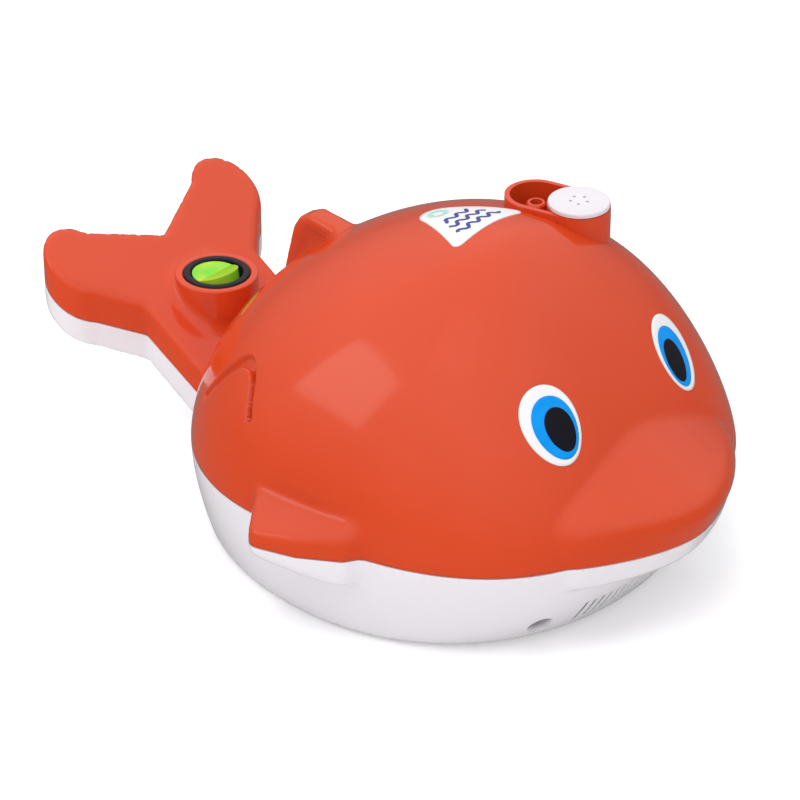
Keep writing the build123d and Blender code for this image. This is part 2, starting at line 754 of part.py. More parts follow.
def bearing_bracket(plate_y, face_y):
    """Strap across the stack with a bearing seat, standing off on four pillars."""
    with BuildPart() as bracket:
        with BuildSketch(Plane.XZ.offset(-plate_y - BRACKET_THICK)):
            with Locations((0, SHAFT_Z)):
                RectangleRounded(42, 44, 5)
                Rectangle(26, 50, mode=Mode.SUBTRACT)
                Rectangle(42, 14)
                Circle(9.5)
                Circle(BUSH_R, mode=Mode.SUBTRACT)
        extrude(amount=BRACKET_THICK)
    solid = bracket.part
    low, high = sorted((plate_y + BRACKET_THICK / 2, face_y))
    for x in (-17, 17):
        for z in (SHAFT_Z - 18.5, SHAFT_Z + 18.5):
            solid += along_y(low, high, x, z, 3)
    return solid


front_bracket = bearing_bracket(FRONT_BRACKET_Y, STACK_Y[0])
front_bracket.label = "front_bracket"
export_step(front_bracket, "parts/front_bracket.step")
rear_bracket = bearing_bracket(REAR_BRACKET_Y, STACK_Y[1])
rear_bracket.label = "rear_bracket"
export_step(rear_bracket, "parts/rear_bracket.step")

with BuildPart() as bushes:
    for y in (FRONT_BRACKET_Y, REAR_BRACKET_Y):
        with BuildSketch(Plane.XZ.offset(-y - BRACKET_THICK - 1)):
            with Locations((0, SHAFT_Z)):
                Circle(BUSH_R)
                Circle(SHAFT_R + RUN, mode=Mode.SUBTRACT)
        extrude(amount=BRACKET_THICK + 2)
bushes.part.label = "bushes"
export_step(bushes.part, "parts/bushes.step")

with BuildPart() as bracket_screws:
    for x in (-17, 17):
        for z in (SHAFT_Z - 18.5, SHAFT_Z + 18.5):
            with BuildSketch(Plane.XZ.offset(-FRONT_BRACKET_Y)):
                with Locations((x, z)):
                    RegularPolygon(3, 6)
            extrude(amount=2.4)
            with BuildSketch(Plane.XZ.offset(-REAR_BRACKET_Y - BRACKET_THICK)):
                with Locations((x, z)):
                    RegularPolygon(3, 6)
            extrude(amount=-2.4)
bracket_screws.part.label = "bracket_screws"
export_step(bracket_screws.part, "parts/bracket_screws.step")

shaft_solid = along_y(*SHAFT_Y, 0, SHAFT_Z, SHAFT_R)
shaft_solid.label = "motor_shaft"
export_step(shaft_solid, "parts/motor_shaft.step")

with BuildPart() as rotor:
    with BuildSketch(Plane.XZ.offset(-STACK_Y[1])):
        with Locations((0, SHAFT_Z)):
            Circle(ROTOR_R)
            Circle(SHAFT_R, mode=Mode.SUBTRACT)
    extrude(amount=stack_depth)
    for plane_y in (STACK_Y[1] + 1.5, STACK_Y[0]):
        with BuildSketch(Plane.XZ.offset(-plane_y)):
            with Locations((0, SHAFT_Z)):
                Circle(ROTOR_R - 1.4)
                Circle(7, mode=Mode.SUBTRACT)
        extrude(amount=1.5)
rotor.part.label = "rotor"
export_step(rotor.part, "parts/rotor.step")

fan_depth = FAN_Y[1] - FAN_Y[0]
with BuildPart() as cooling_fan:
    with BuildSketch(Plane.XZ.offset(-FAN_Y[1])):
        with Locations((0, SHAFT_Z)):
            Circle(8)
    extrude(amount=fan_depth)
    with BuildSketch(Plane.XZ.offset(-FAN_Y[1])):
        with Locations((0, SHAFT_Z)):
            with PolarLocations(16, 9):
                Rectangle(19, 1.6, rotation=24)
    extrude(amount=fan_depth)
    with BuildSketch(Plane.XZ.offset(-FAN_Y[1])):
        with Locations((0, SHAFT_Z)):
            Circle(FAN_R)
    extrude(amount=1.6)
    with BuildSketch(Plane.XZ.offset(-FAN_Y[1] - 1)):
        with Locations((0, SHAFT_Z)):
            Circle(SHAFT_R)
    extrude(amount=fan_depth + 2, mode=Mode.SUBTRACT)
cooling_fan.part.label = "cooling_fan"
export_step(cooling_fan.part, "parts/cooling_fan.step")

with BuildPart() as crank_disc:
    with BuildSketch(Plane.XZ.offset(-DISC_Y[1])):
        with Locations((0, SHAFT_Z)):
            Circle(DISC_R)
        with Locations((-CRANK_THROW, SHAFT_Z)):
            Circle(CRANK_PIN_R, mode=Mode.SUBTRACT)
        with Locations((-8, SHAFT_Z + 11), (-8, SHAFT_Z - 11)):
            Circle(6, mode=Mode.SUBTRACT)
    extrude(amount=4)
    with BuildSketch(Plane.XZ.offset(-DISC_Y[0] - 3)):
        with Locations((0, SHAFT_Z)):
            Circle(6)
    extrude(amount=7)
    with BuildSketch(Plane.XZ.offset(-20)):
        with Locations((0, SHAFT_Z)):
            Circle(SHAFT_R)
    extrude(amount=-40, both=True, mode=Mode.SUBTRACT)
crank_disc.part.label = "crank_disc"
export_step(crank_disc.part, "parts/crank_disc.step")

# ---------------------------------------------------------------- pump
with BuildPart() as connecting_rod:
    with BuildSketch(Plane.XZ.offset(-ROD_Y - 3)):
        with Locations((-CRANK_THROW, SHAFT_Z)):
            Circle(5)
        with Locations((WRIST_X, SHAFT_Z)):
            Circle(4)
        with Locations(((WRIST_X - CRANK_THROW) / 2, SHAFT_Z)):
            Rectangle(ROD_LENGTH, 5)
        with Locations((-CRANK_THROW, SHAFT_Z)):
            Circle(CRANK_PIN_R, mode=Mode.SUBTRACT)
        with Locations((WRIST_X, SHAFT_Z)):
            Circle(WRIST_PIN_R + PIVOT_RUN, mode=Mode.SUBTRACT)
    extrude(amount=6)
connecting_rod.part.label = "connecting_rod"
export_step(connecting_rod.part, "parts/connecting_rod.step")

crank_pin = along_y(DISC_Y[1] + CAP_GAP, ROD_Y + 4, -CRANK_THROW, SHAFT_Z, CRANK_PIN_R)
crank_pin.label = "crank_pin"
export_step(crank_pin, "parts/crank_pin.step")

with BuildPart() as piston:
    with BuildSketch(Plane.YZ.offset(WRIST_X - 5.5)):
        with Locations((ROD_Y, SHAFT_Z)):
            Circle(PISTON_R - 0.3)
    extrude(amount=11.5)
    with BuildSketch(Plane.YZ.offset(WRIST_X - 5.5)):
        with Locations((ROD_Y, SHAFT_Z)):
            Rectangle(6.6, 12.4)
    extrude(amount=10, mode=Mode.SUBTRACT)
    with BuildSketch(Plane.YZ.offset(WRIST_X + 2.7)):
        with Locations((ROD_Y, SHAFT_Z)):
            Circle(PISTON_R)
            Circle(PISTON_R - 1.6, mode=Mode.SUBTRACT)
    extrude(amount=2.4, mode=Mode.SUBTRACT)
    with BuildSketch(Plane.XZ.offset(-ROD_Y)):
        with Locations((WRIST_X, SHAFT_Z)):
            Circle(WRIST_PIN_R)
    extrude(amount=20, both=True, mode=Mode.SUBTRACT)
piston.part.label = "piston"
export_step(piston.part, "parts/piston.step")

wrist_pin = along_y(ROD_Y - 9, ROD_Y + 9, WRIST_X, SHAFT_Z, WRIST_PIN_R)
wrist_pin.label = "wrist_pin"
export_step(wrist_pin, "parts/wrist_pin.step")

with BuildPart() as piston_seal:
    with BuildSketch(Plane.YZ.offset(WRIST_X + 2.7)):
        with Locations((ROD_Y, SHAFT_Z)):
            Circle(PISTON_R + 0.05)
            Circle(PISTON_R - 1.6, mode=Mode.SUBTRACT)
    extrude(amount=2.4)
piston_seal.part.label = "piston_seal"
export_step(piston_seal.part, "parts/piston_seal.step")

cylinder_solid = along_x(*CYLINDER_X, ROD_Y, SHAFT_Z, CYLINDER_R)
foot_bottom = CHASSIS_Z + CHASSIS_THICK
cylinder_solid += block(22, 40, ROD_Y - 9, ROD_Y + 9, foot_bottom, SHAFT_Z)
cylinder_solid += block(20, 43, ROD_Y - 11, ROD_Y + 11, foot_bottom, foot_bottom + 3)
for fin_x in range(20, 41, 4):
    cylinder_solid += along_x(fin_x, fin_x + 1.2, ROD_Y, SHAFT_Z, CYLINDER_R + 2)
cylinder_solid -= along_x(0, 60, ROD_Y, SHAFT_Z, CYLINDER_BORE_R)
cylinder_solid.label = "cylinder"
export_step(cylinder_solid, "parts/cylinder.step")

with BuildPart() as valve_plate:
    with BuildSketch(Plane.YZ.offset(CYLINDER_X[1])):
        with Locations((ROD_Y, SHAFT_Z)):
            RectangleRounded(2 * HEAD_HALF, 2 * HEAD_HALF, 4)
            with PolarLocations(5, 4):
                Circle(1.2, mode=Mode.SUBTRACT)
    extrude(amount=HEAD_X[0] - CYLINDER_X[1])
valve_plate.part.label = "valve_plate"
export_step(valve_plate.part, "parts/valve_plate.step")

barb_x = (HEAD_X[0] + HEAD_X[1]) / 2
barb_z = SHAFT_Z + HEAD_HALF
with BuildPart() as cylinder_head:
    with BuildSketch(Plane.YZ.offset(HEAD_X[0])):
        with Locations((ROD_Y, SHAFT_Z)):
            RectangleRounded(2 * HEAD_HALF, 2 * HEAD_HALF, 4)
    extrude(amount=HEAD_X[1] - HEAD_X[0])
    with BuildSketch(Plane.YZ.offset(HEAD_X[0])):
        with Locations((ROD_Y, SHAFT_Z)):
            Circle(7.5)
    extrude(amount=5.5, mode=Mode.SUBTRACT)
    with BuildSketch(Plane.XY.offset(barb_z - 1)):
        with Locations((barb_x, ROD_Y)):
            Circle(HOSE_R)
    extrude(amount=5)
    with BuildSketch(Plane.XY.offset(SHAFT_Z)):
        with Locations((barb_x, ROD_Y)):
            Circle(HOSE_BORE_R)
    extrude(amount=30, mode=Mode.SUBTRACT)
cylinder_head.part.label = "cylinder_head"
export_step(cylinder_head.part, "parts/cylinder_head.step")

with BuildPart() as head_screws:
    with BuildSketch(Plane.YZ.offset(HEAD_X[1])):
        with Locations((ROD_Y, SHAFT_Z)):
            with GridLocations(20, 20, 2, 2):
                Circle(2.4)
                RegularPolygon(1.2, 6, mode=Mode.SUBTRACT)
    extrude(amount=1.8)
head_screws.part.label = "head_screws"
export_step(head_screws.part, "parts/head_screws.step")

hose_points = [
    (barb_x, ROD_Y, barb_z + 4),
    (barb_x, ROD_Y, 78),
    (WELL_XY[0], WELL_XY[1], 78),
    (WELL_XY[0], WELL_XY[1], NOZZLE_FOOT),
]
runs = [(Vector(*b) - Vector(*a)).length for a, b in zip(hose_points, hose_points[1:])]
hose_radii = [0.45 * min(pair) for pair in zip(runs, runs[1:])]
hose_path = FilletPolyline(*hose_points, radius=hose_radii)
with BuildPart() as air_hose:
    with BuildSketch(Plane(origin=hose_path @ 0, z_dir=hose_path % 0)):
        Circle(HOSE_R)
        Circle(HOSE_BORE_R, mode=Mode.SUBTRACT)
    sweep(path=hose_path)
air_hose.part.label = "air_hose"
export_step(air_hose.part, "parts/air_hose.step")
hose_area = pi * (HOSE_R**2 - HOSE_BORE_R**2)
print("hose radii", [round(r, 2) for r in hose_radii])
print("hose volume", round(air_hose.part.volume, 1), "expected", round(hose_area * hose_path.length, 1))

# ---------------------------------------------------------------- chassis
with BuildPart() as chassis:
    with BuildSketch(Plane.XY.offset(CHASSIS_Z)):
        with Locations((0, -12)):
            RectangleRounded(100, 76, 6)
            RectangleRounded(30, 40, 4, mode=Mode.SUBTRACT)
    extrude(amount=CHASSIS_THICK)
    with BuildSketch(Plane.XY.offset(CHASSIS_Z + CHASSIS_THICK)):
        with Locations((STACK_X[0] + 8, stack_mid_y), (STACK_X[1] - 3, stack_mid_y)):
            Rectangle(6, stack_depth)
    extrude(amount=STACK_Z[0] - CHASSIS_Z - CHASSIS_THICK)
chassis.part.label = "chassis"
export_step(chassis.part, "parts/chassis.step")

with BuildPart() as rubber_mounts:
    for spot in MOUNT_XY:
        with BuildSketch(Plane.XY.offset(FLOOR_Z)):
            with Locations(spot):
                Circle(5)
        extrude(amount=CHASSIS_Z - FLOOR_Z)
        with BuildSketch(Plane.XZ.offset(-spot[1])):
            with Locations((spot[0], (CHASSIS_Z + FLOOR_Z) / 2)):
                with GridLocations(10, 0, 2, 1):
                    Circle(1.2)
        revolve_axis = Axis((spot[0], spot[1], 0), (0, 0, 1))
        revolve(axis=revolve_axis, mode=Mode.SUBTRACT)
rubber_mounts.part.label = "rubber_mounts"
export_step(rubber_mounts.part, "parts/rubber_mounts.step")


# ---------------------------------------------------------------- wires
def wire(name, points):
    """Insulated wire of straight runs joined by tangent arcs; prints radii and volume."""
    legs = [Vector(*b) - Vector(*a) for a, b in zip(points, points[1:])]
    bends = []
    for first, second in zip(legs, legs[1:]):
        half_turn = radians(first.get_angle(second)) / 2
        shorter = min(first.length, second.length)
        bends.append(min(0.45 * shorter * cos(half_turn) / sin(half_turn), 40))
    path = FilletPolyline(*points, radius=bends)
    with BuildPart() as cord:
        with BuildSketch(Plane(origin=path @ 0, z_dir=path % 0)):
            Circle(WIRE_R)
        sweep(path=path)
    cord.part.label = name
    export_step(cord.part, "parts/" + name + ".step")
    print(name, [round(r, 1) for r in bends], round(cord.part.volume / (pi * WIRE_R**2 * path.length), 4))


tab_x = INLET_FACE[0] - INLET_DEPTH - 6
blade_z = SWITCH_BOTTOM - 8
coil_tip_y = coil_face_y + 6
coil_tip_z = SHAFT_Z + 12.3
wire("wire_live", [
    (tab_x, INLET_FACE[1] + 4, INLET_FACE[2]), (52, -3, 20), (50, 30, 20), (14, 52, 20),
    (5, 76, 24), (5, BOSS_Y, blade_z),
])
wire("wire_switched", [
    (-5, BOSS_Y, blade_z), (-5, 76, 23), (-22, 42, 18), (-38, 8, 24), (-40, coil_tip_y, coil_tip_z),
])
wire("wire_neutral", [
    (tab_x, INLET_FACE[1] - 4, INLET_FACE[2]), (50, -6, 18), (-34, -4, 18), (-54, 6, 34),
    (-50, coil_tip_y, coil_tip_z),
])
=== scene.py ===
"""Looks for the whale-shaped tabletop nebulizer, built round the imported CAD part."""
import json
import math

import bmesh
import bpy
import numpy as np
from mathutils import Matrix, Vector


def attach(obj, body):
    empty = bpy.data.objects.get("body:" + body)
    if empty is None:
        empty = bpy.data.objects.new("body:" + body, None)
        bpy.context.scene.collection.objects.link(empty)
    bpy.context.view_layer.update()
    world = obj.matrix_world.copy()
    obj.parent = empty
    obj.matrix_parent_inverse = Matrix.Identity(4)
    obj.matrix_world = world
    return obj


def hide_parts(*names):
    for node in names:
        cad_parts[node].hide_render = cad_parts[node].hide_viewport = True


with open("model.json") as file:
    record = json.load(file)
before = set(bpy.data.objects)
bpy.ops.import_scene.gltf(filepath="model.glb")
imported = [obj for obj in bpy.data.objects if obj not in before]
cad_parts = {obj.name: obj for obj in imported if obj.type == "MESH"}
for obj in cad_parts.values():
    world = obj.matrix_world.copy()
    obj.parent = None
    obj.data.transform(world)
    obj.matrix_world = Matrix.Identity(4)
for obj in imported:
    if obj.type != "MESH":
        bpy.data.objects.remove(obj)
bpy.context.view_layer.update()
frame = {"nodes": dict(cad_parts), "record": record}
MM = 0.001

# ---------------------------------------------------------------- sizes, in millimetres
PARTING_Z = 36.0
DOME_TOP = 116.7
BASE_Z = 1.0
MIDDLE_Y = -10.9
# how far the body reaches at the parting, the power of its dome curve, and the loss at the floor
SIDE_REACH = (83.0, 1.74, 8.0)
FRONT_REACH = (100.4, 1.4, 29.6)
REAR_REACH = (72.4, 2.07, -15.6)
# how far the middle moves to the nose: with height, with height squared, and below the parting
MIDDLE_SHIFTS = (3.2, 30.5, 12.7)
FRONT_POWER = 2.6               # squareness of the outline in plan, before and behind the middle
REAR_POWER = 2.05
FLOOR_EDGE = 1.6

SNOUT_Y = -122.9
SNOUT_HALF = 44.5
SNOUT_BOW = 0.026               # how fast the snout's outline steps back from the middle
SNOUT_POWER = 1.75
SNOUT_LEAN = 0.42
SNOUT_RISE = 0.54
SNOUT_DROOP = 0.0012
SNOUT_REAR_Y = -78.0
RIDGE_Z = 49.5
JAW_Z = 24.5                    # underside of the snout at JAW_REF_Y
JAW_REF_Y = -118.0
JAW_SLOPE = 0.10
SNOUT_END_EDGE = 7.0
RIDGE_EDGE = 6.0
JAW_EDGE = 5.0
SNOUT_BLEND = 1.0

TAIL_SLOPE = 0.61
TAIL_TOP_Z = 62.0
TAIL_REF_Y = 114.0
TAIL_THICK = 23.3
TAIL_FRONT_Y = 31.0
TAIL_LOW_Z = 4.0
TAIL_TOP_EDGE = 3.0
TAIL_LOW_EDGE = 4.0
TAIL_BLEND = 2.0
STEM_HALF = 27.4
FLUKE = (35.8, 116.2)
FLUKE_R = 12.2
FLUKE_BLEND = 0.8
TAIL_NOTCH = (0.0, 112.0)
TAIL_SIDE = [(STEM_HALF, 30.0), (STEM_HALF, 93.5), (44.0, 107.7), (FLUKE[0], 127.9)]
TAIL_PLAN = TAIL_SIDE + [TAIL_NOTCH] + [(-x, y) for x, y in reversed(TAIL_SIDE)]

FIN_PLAN = [
    (60.0, -13.6), (79.2, -13.6), (92.6, -23.2), (88.8, -35.4), (81.6, -47.2), (73.2, -51.6), (60.0, -51.6),
]
FIN_GROW = 4.2
FIN_TOP_Z = 47.5
FIN_DROOP = 0.33
FIN_REF_X = 78.0
FIN_LOW_Z = 26.0
FIN_LIFT = 0.55                 # the underside rises this fast outside FIN_TIP_X
FIN_TIP_X = 86.0
FIN_EDGE = 2.5
FIN_FRONT_EDGE = 5.0            # added to FIN_EDGE towards the fin's front
FIN_LOW_EDGE = 4.0
FIN_BLEND = 2.0

DORSAL_SIDE = [
    (5.0, 60.0), (5.0, 88.2), (22.0, 89.8), (38.0, 91.4), (41.4, 89.8), (43.4, 86.6), (46.2, 76.0),
    (48.6, 66.0), (49.0, 60.0),
]
DORSAL_PANEL = [(31.5, 87.0), (38.8, 88.4), (43.0, 74.0)]
DORSAL_HALF = 4.5
DORSAL_GROW = 2.8
DORSAL_EDGE = 2.4
DORSAL_BLEND = 1.5
PANEL_HALF = 3.8                # the sunk panel on each side of the fin starts this far out
PANEL_GROW = 1.2
PANEL_EDGE = 1.6
PANEL_RIM = 1.8

BOSS_Y = 86.2
BOSS_R = 14.4
BOSS_TOP = 54.0
BOSS_BLEND = 4.0
BEZEL_R = 11.5
SWITCH_HOLE_R = 10.0
TURRET_WELL = np.array((26.9, -32.8))
TURRET_SOCKET = np.array((30.1, -47.8))
TURRET_HALF = 9.9
TURRET_LOW_Z = 99.9

ARCH_CORNERS = [
    (-63.6, 28.5, 55.4), (-61.8, 20.5, 66.7), (-60.9, 12.8, 73.4), (-65.0, 5.7, 72.6), (-73.8, -0.2, 63.2),
]
ARCH_HALF = 1.75
ARCH_DEPTH = 1.6
SLIT_DEPTH = 4.6                # added where the groove turns into an open slit
SLIT_Y = 9.5
SCOOP_Y = 12.0                  # the groove is widest at its crown

SLOTS = 17
SLOT_PITCH = 3.3
SLOT_TURN = math.radians(94)
SLOT_HALF = 0.75
SLOT_REACH = 27.0
SLOT_Z = 10.3
SLOT_HALF_LENGTH = 4.6
JAW_HOLE = np.array((-39.0, -92.0, 8.5))
JAW_HOLE_TURN = math.radians(-116.3)
JAW_HOLE_OUT = np.array((math.cos(JAW_HOLE_TURN), math.sin(JAW_HOLE_TURN), 0))
JAW_HOLE_R = 4.25
CUP_DEPTH = 6.0
CUP_WALL = 0.6
INLET_Y = -12.0
INLET_Z = 15.5
INLET_HALF = (11.0, 6.0)

EYE_CENTRE = (30.3, -87.8, 76.1)
EYE_OUT = (0.25, -0.78, 0.57)
EYE_LEAN = -0.20                # tops of the eyes lean away from the nose
EYE_HALF_HEIGHT = 13.2
RIGHT_EYE_HALF = 9.8
LEFT_EYE_HALF = 8.9
LABEL_CORNERS = [(-17.0, -18.2), (17.0, -18.2), (0, 18.0)]
LABEL_RADII = (2.0, 2.0, 6.0)
LABEL_CENTRE = (0, -18.5, 112)
WAVES = 3
WAVE_Y = -31.5
WAVE_PITCH = 4.6
WAVE_HALF = 9.5                 # the first wave's; each later one is WAVE_TAPER shorter at both ends
WAVE_TAPER = 1.6
WAVE_HEIGHT = 1.1
WAVE_WIDTH = 1.3
RING_Y = -14.5
RING_R = 2.6
RING_WIDTH = 1.6
FILM_LIFT = 0.30                # printed films stand this far off the body, and marks a little more
MARK_LIFT = 0.36

GAP = 0.22                      # half of the dark line between the two shells
SHELL_WALL = 2.2
# dark sheet of painted shade behind the air slots: its wall, and how far inside the case it sits
SLOT_SHADE_WALL = 0.2
SLOT_SHADE_DEPTH = 0.4
GRID = 1.5                      # spacing of the grid that the case surface is drawn from
GRID_LOW = (-99.0, -131.0, -1.0)
GRID_HIGH = (99.0, 131.0, 119.0)
FAR = 9.0                       # value of a field where its opening doesn't apply
TURN_STEPS = 96
CUP_STEPS = 64


# ---------------------------------------------------------------- distance fields of the case
def smooth_min(a, b, k):
    h = np.clip(0.5 + 0.5 * (b - a) / k, 0, 1)
    return b + (a - b) * h - k * h * (1 - h)


def smooth_max(a, b, k):
    return -smooth_min(-a, -b, k)


def body_reach(sizes, up, down):
    length, power, loss = sizes
    return length * (1 - up**power) ** (1 / power) - loss * down


def body_radius(x, y, z):
    """Horizontal distance from the body's middle, and the body's radius that way."""
    up = np.clip((z - PARTING_Z) / (DOME_TOP - PARTING_Z), 0, 0.99999)
    down = (np.clip((PARTING_Z - z) / PARTING_Z, 0, 1.2)) ** 1.6
    rising, climbing, sinking = MIDDLE_SHIFTS
    away = y - (MIDDLE_Y - rising * up - climbing * up * up - sinking * down)
    reach = np.hypot(x, away) + 1e-6
    is_front = away < 0
    power = np.where(is_front, FRONT_POWER - 0.5 * down, REAR_POWER)
    length = np.where(is_front, body_reach(FRONT_REACH, up, down), body_reach(REAR_REACH, up, down))
    c = np.abs(x) / reach / body_reach(SIDE_REACH, up, down)
    s = np.abs(away) / reach / length
    return reach, (c**power + s**power) ** (-1 / power)


def body_field(x, y, z):
    rise = 0.5
    reach, radius = body_radius(x, y, z)
    slope = (radius - body_radius(x, y, z - rise)[1]) / rise
    field = np.maximum((reach - radius) / np.sqrt(1 + slope**2), z - DOME_TOP)
    return smooth_max(field, BASE_Z - z, FLOOR_EDGE)


def polygon_field(u, v, corners):
    """Signed distance to a closed polygon, negative inside."""
    best = np.full(np.broadcast(u, v).shape, 1e9)
    inside = np.zeros(best.shape, bool)
    for (ax, ay), (bx, by) in zip(corners, corners[1:] + corners[:1]):
        ex, ey = bx - ax, by - ay
        t = np.clip(((u - ax) * ex + (v - ay) * ey) / (ex * ex + ey * ey), 0, 1)
        best = np.minimum(best, np.hypot(u - ax - t * ex, v - ay - t * ey))
        crosses = ((ay > v) != (by > v)) & (u < ex * (v - ay) / (ey if ey else 1e-9) + ax)
        inside ^= crosses
    return np.where(inside, -best, best)


def tail_field(x, y, z):
    plan = polygon_field(x, y, TAIL_PLAN)
    tips = np.hypot(np.abs(x) - FLUKE[0], y - FLUKE[1]) - FLUKE_R
    plan = smooth_min(plan, tips, FLUKE_BLEND)
    top = TAIL_TOP_Z + TAIL_SLOPE * (y - TAIL_REF_Y)
    lean = math.sqrt(1 + TAIL_SLOPE**2)
    field = smooth_max(plan, (z - top) / lean, TAIL_TOP_EDGE)
    field = smooth_max(field, (top - TAIL_THICK - z) / lean, TAIL_LOW_EDGE)
    return np.maximum(field, np.maximum(TAIL_FRONT_Y - y, TAIL_LOW_Z - z))


def fin_field(x, y, z):
    x = np.abs(x)
    plan = polygon_field(x, y, FIN_PLAN) - FIN_GROW
    top = (z - (FIN_TOP_Z - FIN_DROOP * (x - FIN_REF_X))) * 0.95
    low = (FIN_LOW_Z + np.clip(x - FIN_TIP_X, 0, 20) * FIN_LIFT - z) * 0.9
    edge = FIN_EDGE + FIN_FRONT_EDGE * np.clip((-36.0 - y) / 14.0, 0, 1)
    return smooth_max(smooth_max(plan, top, edge), low, FIN_LOW_EDGE)


def dorsal_field(x, y, z):
    side = polygon_field(y, z, DORSAL_SIDE) - DORSAL_GROW
    field = smooth_max(side, np.abs(x) - DORSAL_HALF, DORSAL_EDGE)
    panel = polygon_field(y, z, DORSAL_PANEL) - PANEL_GROW
    panel = smooth_max(panel, PANEL_HALF - np.abs(x), PANEL_EDGE)
    return smooth_max(field, -panel, PANEL_RIM)


def boss_field(x, y, z):
    wall = np.hypot(x, y - BOSS_Y) - (BOSS_R - 0.1)
    return smooth_max(smooth_max(wall, z - (BOSS_TOP - 2.0), 0.6), 30.0 - z, 1.0)


def snout_field(x, y, z):
    """Bill under the eyes: a sloping top, a ridge and a front that leans in towards the jaw."""
    x = np.minimum(np.abs(x), 50.0)
    lean = SNOUT_LEAN * (1 - (x / SNOUT_HALF) ** 2)
    steep = 1 + (SNOUT_BOW * SNOUT_POWER * x ** (SNOUT_POWER - 1)) ** 2
    outline = SNOUT_Y + SNOUT_BOW * x**SNOUT_POWER
    ridge = outline - lean * (RIDGE_Z - PARTING_Z)
    front = (outline - lean * (z - PARTING_Z) - y) / np.sqrt(steep + 0.16)
    top = (z - RIDGE_Z + SNOUT_DROOP * x * x - SNOUT_RISE * (y - ridge)) / np.sqrt(1 + 0.29 * steep)
    under = (JAW_Z + JAW_SLOPE * (y - JAW_REF_Y) - z) * 0.99
    field = smooth_max(smooth_max(front, x - SNOUT_HALF, SNOUT_END_EDGE), top, RIDGE_EDGE)
    return np.maximum(smooth_max(field, under, JAW_EDGE), y - SNOUT_REAR_Y)


def case_field(x, y, z):
    """The whole case without its holes."""
    field = smooth_min(body_field(x, y, z), snout_field(x, y, z), SNOUT_BLEND)
    tail = smooth_min(tail_field(x, y, z), boss_field(x, y, z), BOSS_BLEND)
    field = smooth_min(field, tail, TAIL_BLEND)
    field = smooth_min(field, fin_field(x, y, z), FIN_BLEND)
    return smooth_min(field, dorsal_field(x, y, z), DORSAL_BLEND)


def gradient(field, points):
    reach = 0.05
    out = np.empty_like(points)
    for axis in range(3):
        step = np.zeros(3)
        step[axis] = reach
        out[:, axis] = (field(*(points + step).T) - field(*(points - step).T)) / (2 * reach)
    return out


def normals(field, points):
    slope = gradient(field, points)
    return slope / (np.linalg.norm(slope, axis=1, keepdims=True) + 1e-9)


def onto_surface(field, points, rounds):
    """Moves points along the gradient until they lie on the surface."""
    for _ in range(rounds):
        slope = gradient(field, points)
        size = np.maximum((slope * slope).sum(1), 0.05)
        step = (field(*points.T) / size)[:, None] * slope
        length = np.linalg.norm(step, axis=1, keepdims=True)
        points = points - step * np.minimum(1, 0.8 / (length + 1e-9))
    return points


# ---------------------------------------------------------------- meshes
def net_surface(field, low, high, step):
    """Quads of the zero surface: one point in each grid cell that the surface passes."""
    axes = [np.arange(a, b + step, step) for a, b in zip(low, high)]
    shape = [len(a) for a in axes]
    values = np.empty(shape, np.float32)
    x, y = np.meshgrid(axes[0], axes[1], indexing="ij")
    for k, z in enumerate(axes[2]):
        values[:, :, k] = field(x, y, np.full_like(x, z))
    inside = values < 0
    cells = [n - 1 for n in shape]
    total = np.zeros(cells + [3], np.float32)
    count = np.zeros(cells, np.int16)
    edges = []
    for axis in range(3):
        first = [slice(None)] * 3
        second = [slice(None)] * 3
        first[axis], second[axis] = slice(0, -1), slice(1, None)
        first, second = tuple(first), tuple(second)
        cut = inside[first] != inside[second]
        spots = np.argwhere(cut)
        a, b = values[first][cut], values[second][cut]
        places = spots.astype(np.float32)
        places[:, axis] += a / (a - b)
        others = [k for k in range(3) if k != axis]
        for move in ((0, 0), (0, -1), (-1, 0), (-1, -1)):
            cell = spots.copy()
            cell[:, others] += move
            ok = (cell >= 0).all(1) & (cell < cells).all(1)
            c = tuple(cell[ok].T)
            np.add.at(total, c, places[ok])
            np.add.at(count, c, 1)
        edges.append((axis, others, spots, inside[first][cut]))
    live = count > 0
    index = np.full(cells, -1, np.int64)
    index[live] = np.arange(live.sum())
    points = total[live] / count[live][:, None] * step + np.array(low)
    faces = []
    for axis, others, spots, starts_inside in edges:
        ring = []
        for move in ((0, 0), (-1, 0), (-1, -1), (0, -1)):
            cell = spots.copy()
            cell[:, others] += move
            ring.append(cell)
        ok = np.all([((c >= 0) & (c < cells)).all(1) for c in ring], axis=0)
        quad = np.stack([index[tuple(c[ok].T)] for c in ring], 1)
        flip = starts_inside[ok] ^ (axis == 1)
        quad[~flip] = quad[~flip][:, ::-1]
        faces.append(quad)
    return points.astype(float), np.concatenate(faces)


def clip(points, faces, values):
    """Keeps the part of a mesh where the values are not negative."""
    points = [tuple(p) for p in points]
    made = {}
    kept = []
    for face in faces:
        signs = [values[i] >= 0 for i in face]
        if all(signs):
            kept.append(tuple(face))
            continue
        if not any(signs):
            continue
        out = []
        for i, j in zip(face, list(face[1:]) + [face[0]]):
            if values[i] >= 0:
                out.append(i)
            if (values[i] >= 0) != (values[j] >= 0):
                a, b = min(i, j), max(i, j)
                if (a, b) not in made:
                    t = values[a] / (values[a] - values[b])
                    made[a, b] = len(points)
                    points.append(tuple(p + t * (q - p) for p, q in zip(points[a], points[b])))
                out.append(made[a, b])
        if len(out) > 2:
            kept.append(tuple(out))
    used = sorted({i for f in kept for i in f})
    place = {old: new for new, old in enumerate(used)}
    return np.array([points[i] for i in used]), [tuple(place[i] for i in f) for f in kept]


